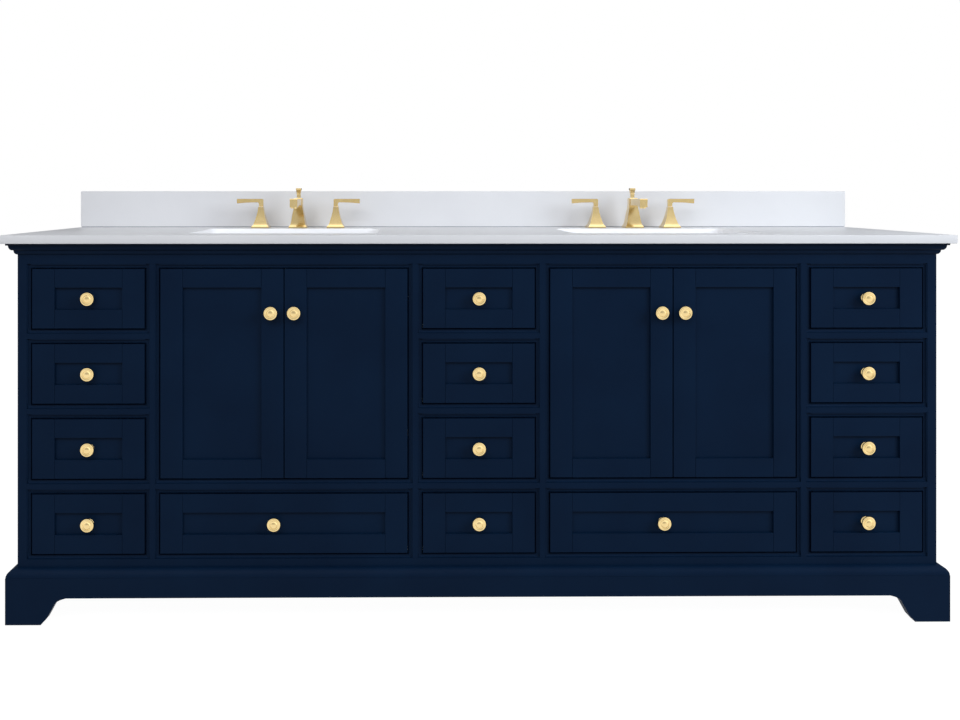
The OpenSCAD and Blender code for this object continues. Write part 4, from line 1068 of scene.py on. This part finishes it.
def hinge_cups(name, x, y):
    """Pressed steel cups let into the door, each with a flange and two screws."""
    piece = Piece(f"{name}_hinge_cups", [ZINC], name)
    t, r, deep, ear_r = 1.2, CUP_R - 0.3, 0.3 - CUP_DEPTH, 8
    wall = [(0, deep), (r - 3, deep), (r - 0.8, deep + 1), (r, deep + 3), (r, 0.1), (r + 1.5, 0.1),
            (r + 1.5, t), (r - 0.6, t), (r - 1.5, 0.4), (r - 1.5, deep + 4), (r - 3, deep + 1.5),
            (0, deep + 1.5)]
    for z in cup_heights(name):
        piece.turn(wall, (x, y, z), BACKWARD)
        for s in (-1, 1):
            root = z + s * (r + 0.4)
            ear = arc(x, z + s * 23, ear_r, s * ear_r, 0, 180, 10) + [(x - ear_r, root), (x + ear_r, root)]
            piece.prism(ear, 1, y + 0.1, y + t, 0.25)
            screw_head(piece, (x, y + t - 0.1, z + s * 24), BACKWARD, 3.4)
        for dz in (-8.5, 1.5):
            piece.rod((x, y - 6, z + dz), UP, 1.6, 7, 14)
    piece.done(f"{name}_hardware", smooth=40)


def hinge_plates():
    """The fixed half of each cup hinge: a plate on the upright and an arm whose cap is painted shade."""
    piece = Piece("hinge_plates", [ZINC, PAINTED_SHADE])
    y = FRONTS_BACK_Y + 2
    # The last part is the arm's cap, in the darkened navy: painted shade.
    # From and to off the upright, from and to behind the door, half height, easing, material
    parts = ((0.2, 3, 28, 62, 20, 0.8, 0), (2.8, 9, 0, 70, 8, 1.6, 0), (8.8, 35.1, 0, 5, 8, 1.2, 0),
             (4, 12, -0.4, 1.5, 8.3, 0.2, 1))
    # Off the upright, behind the door, up, radius
    screws = ((3, 45, -15, 3.4), (3, 45, 15, 3.4), (8.9, 30, 0, 3.2), (8.9, 58, 0, 3.2))
    for name in DOORS:
        edge, inward = hinge_side(name)
        face = edge - inward * (FRONT_GAP + PANEL_REVEAL)
        for z in cup_heights(name):
            for u0, u1, y0, y1, half_h, ease, material in parts:
                low = (face + inward * u0, y + y0, z - half_h)
                piece.box(low, (face + inward * u1, y + y1, z + half_h), ease, material)
            for u, dy, dz, r in screws:
                screw_head(piece, (face + inward * u, y + dy, z + dz), (inward, 0, 0), r)
    piece.done("slide_rails_and_hinge_plates")


# ---- Studio ----
def studio_floor():
    """A plain pale floor, which isn't part of the object."""
    s = Shader("studio_floor", Specular_IOR_Level=0.0, Roughness=0.9, Emission_Strength=0.975,
               Emission_Color=(1, 1, 1, 1))
    s.drive(Base_Color=s.ramp(s.noise(1.5, 3), [(0.3, (0.12, 0.12, 0.122)), (0.7, (0.14, 0.14, 0.14))]))
    bm = bmesh.new()
    bmesh.ops.create_grid(bm, x_segments=4, y_segments=4, size=14)
    mesh = bpy.data.meshes.new("studio_floor")
    bm.to_mesh(mesh)
    bm.free()
    mesh.materials.append(s.material)
    floor = bpy.data.objects.new("studio_floor", mesh)
    floor.visible_diffuse = False
    bpy.context.scene.collection.objects.link(floor)


def area_light(name, place, target, size, power, colour=(1, 1, 1), mirrored=True):
    data = bpy.data.lights.new(name, "AREA")
    data.shape = "RECTANGLE"
    data.size, data.size_y = size
    data.energy = power
    data.color = colour
    light = bpy.data.objects.new(name, data)
    bpy.context.scene.collection.objects.link(light)
    light.location = place
    light.rotation_euler = (Vector(target) - Vector(place)).to_track_quat("-Z", "Y").to_euler()
    light.visible_glossy = mirrored


class Sky(Nodes):
    """The studio's surroundings, built from the direction of a ray."""

    def __init__(self):
        world = bpy.data.worlds.new("studio_world")
        bpy.context.scene.world = world
        world.use_nodes = True
        super().__init__(world.node_tree)
        direction = self.add("ShaderNodeTexCoord").outputs["Generated"]
        self.x, self.y, self.z = self.add("ShaderNodeSeparateXYZ", {0: direction}).outputs
        self.path = self.add("ShaderNodeLightPath").outputs

    def light(self, colour, *factors):
        """A background whose strength is the product of the factors."""
        strength = factors[0]
        for factor in factors[1:]:
            inputs = {0: strength, 1: factor}
            strength = self.add("ShaderNodeMath", inputs, operation="MULTIPLY").outputs[0]
        return self.add("ShaderNodeBackground", {"Color": (*colour, 1), "Strength": strength}).outputs[0]

    def choose(self, ray, otherwise, seen):
        return self.add("ShaderNodeMixShader", {0: self.path[ray], 1: otherwise, 2: seen}).outputs[0]


def studio_light():
    """Soft surroundings, dimmer below and behind; others for reflections, and white for the camera. Then a
    softbox high in front, a cooler one to the right and a weak one above."""
    sky = Sky()
    lit = sky.light((0.965, 0.975, 1.0), sky.span(sky.z, 0.22, 0.45, -0.6, 0.25),
                    sky.span(sky.y, 1.0, 0.85, -0.2, 0.6))
    mirrored = sky.light((0.97, 0.98, 1.0), sky.span(sky.y, 0.64, 1.38, -0.93, -0.5),
                         sky.span(sky.x, 0.92, 1.22, -0.2, 0.5), sky.span(sky.y, 1.0, 0.15, 0.0, 0.5))
    surface = sky.choose("Is Glossy Ray", lit, mirrored)
    surface = sky.choose("Is Camera Ray", surface, sky.light((1, 1, 1), 1.0))
    sky.tree.links.new(surface, sky.tree.nodes["World Output"].inputs["Surface"])
    area_light("front_softbox", (-1.1, -2.9, 2.9), (-0.2, 0, 0.6), (3.0, 1.6), 60, mirrored=False)
    area_light("right_softbox", (2.8, -2.0, 2.0), (0.7, 0, 0.6), (1.6, 1.6), 70, (0.90, 0.955, 1), False)
    area_light("top_softbox", (0, -0.2, 3.2), (0, 0, 0.8), (3.2, 1.4), 5)
    bpy.context.scene.view_settings.view_transform = "Standard"


# ---- Build ----
make_camera()
face_frame()
beading()
mouldings()
base_plinth()
levelling_feet()
side_panels()
partitions()
floor_and_shelves()
backs_and_stretchers()
countertop()
backsplash()
sink_basins()
drains()
stoppers()
faucets()
for side_name, basin_x in SINKS.items():
    lever(f"{side_name}_hot_lever", -1)
    lever(f"{side_name}_cold_lever", 1)
    lift_rod(side_name, basin_x)
    pivot_rod(side_name, basin_x)
for drawer_name in DRAWERS + WIDE_DRAWERS:
    drawer(drawer_name)
for door_name in DOORS:
    door(door_name)
fixed_runners()
hinge_plates()
studio_floor()
studio_light()
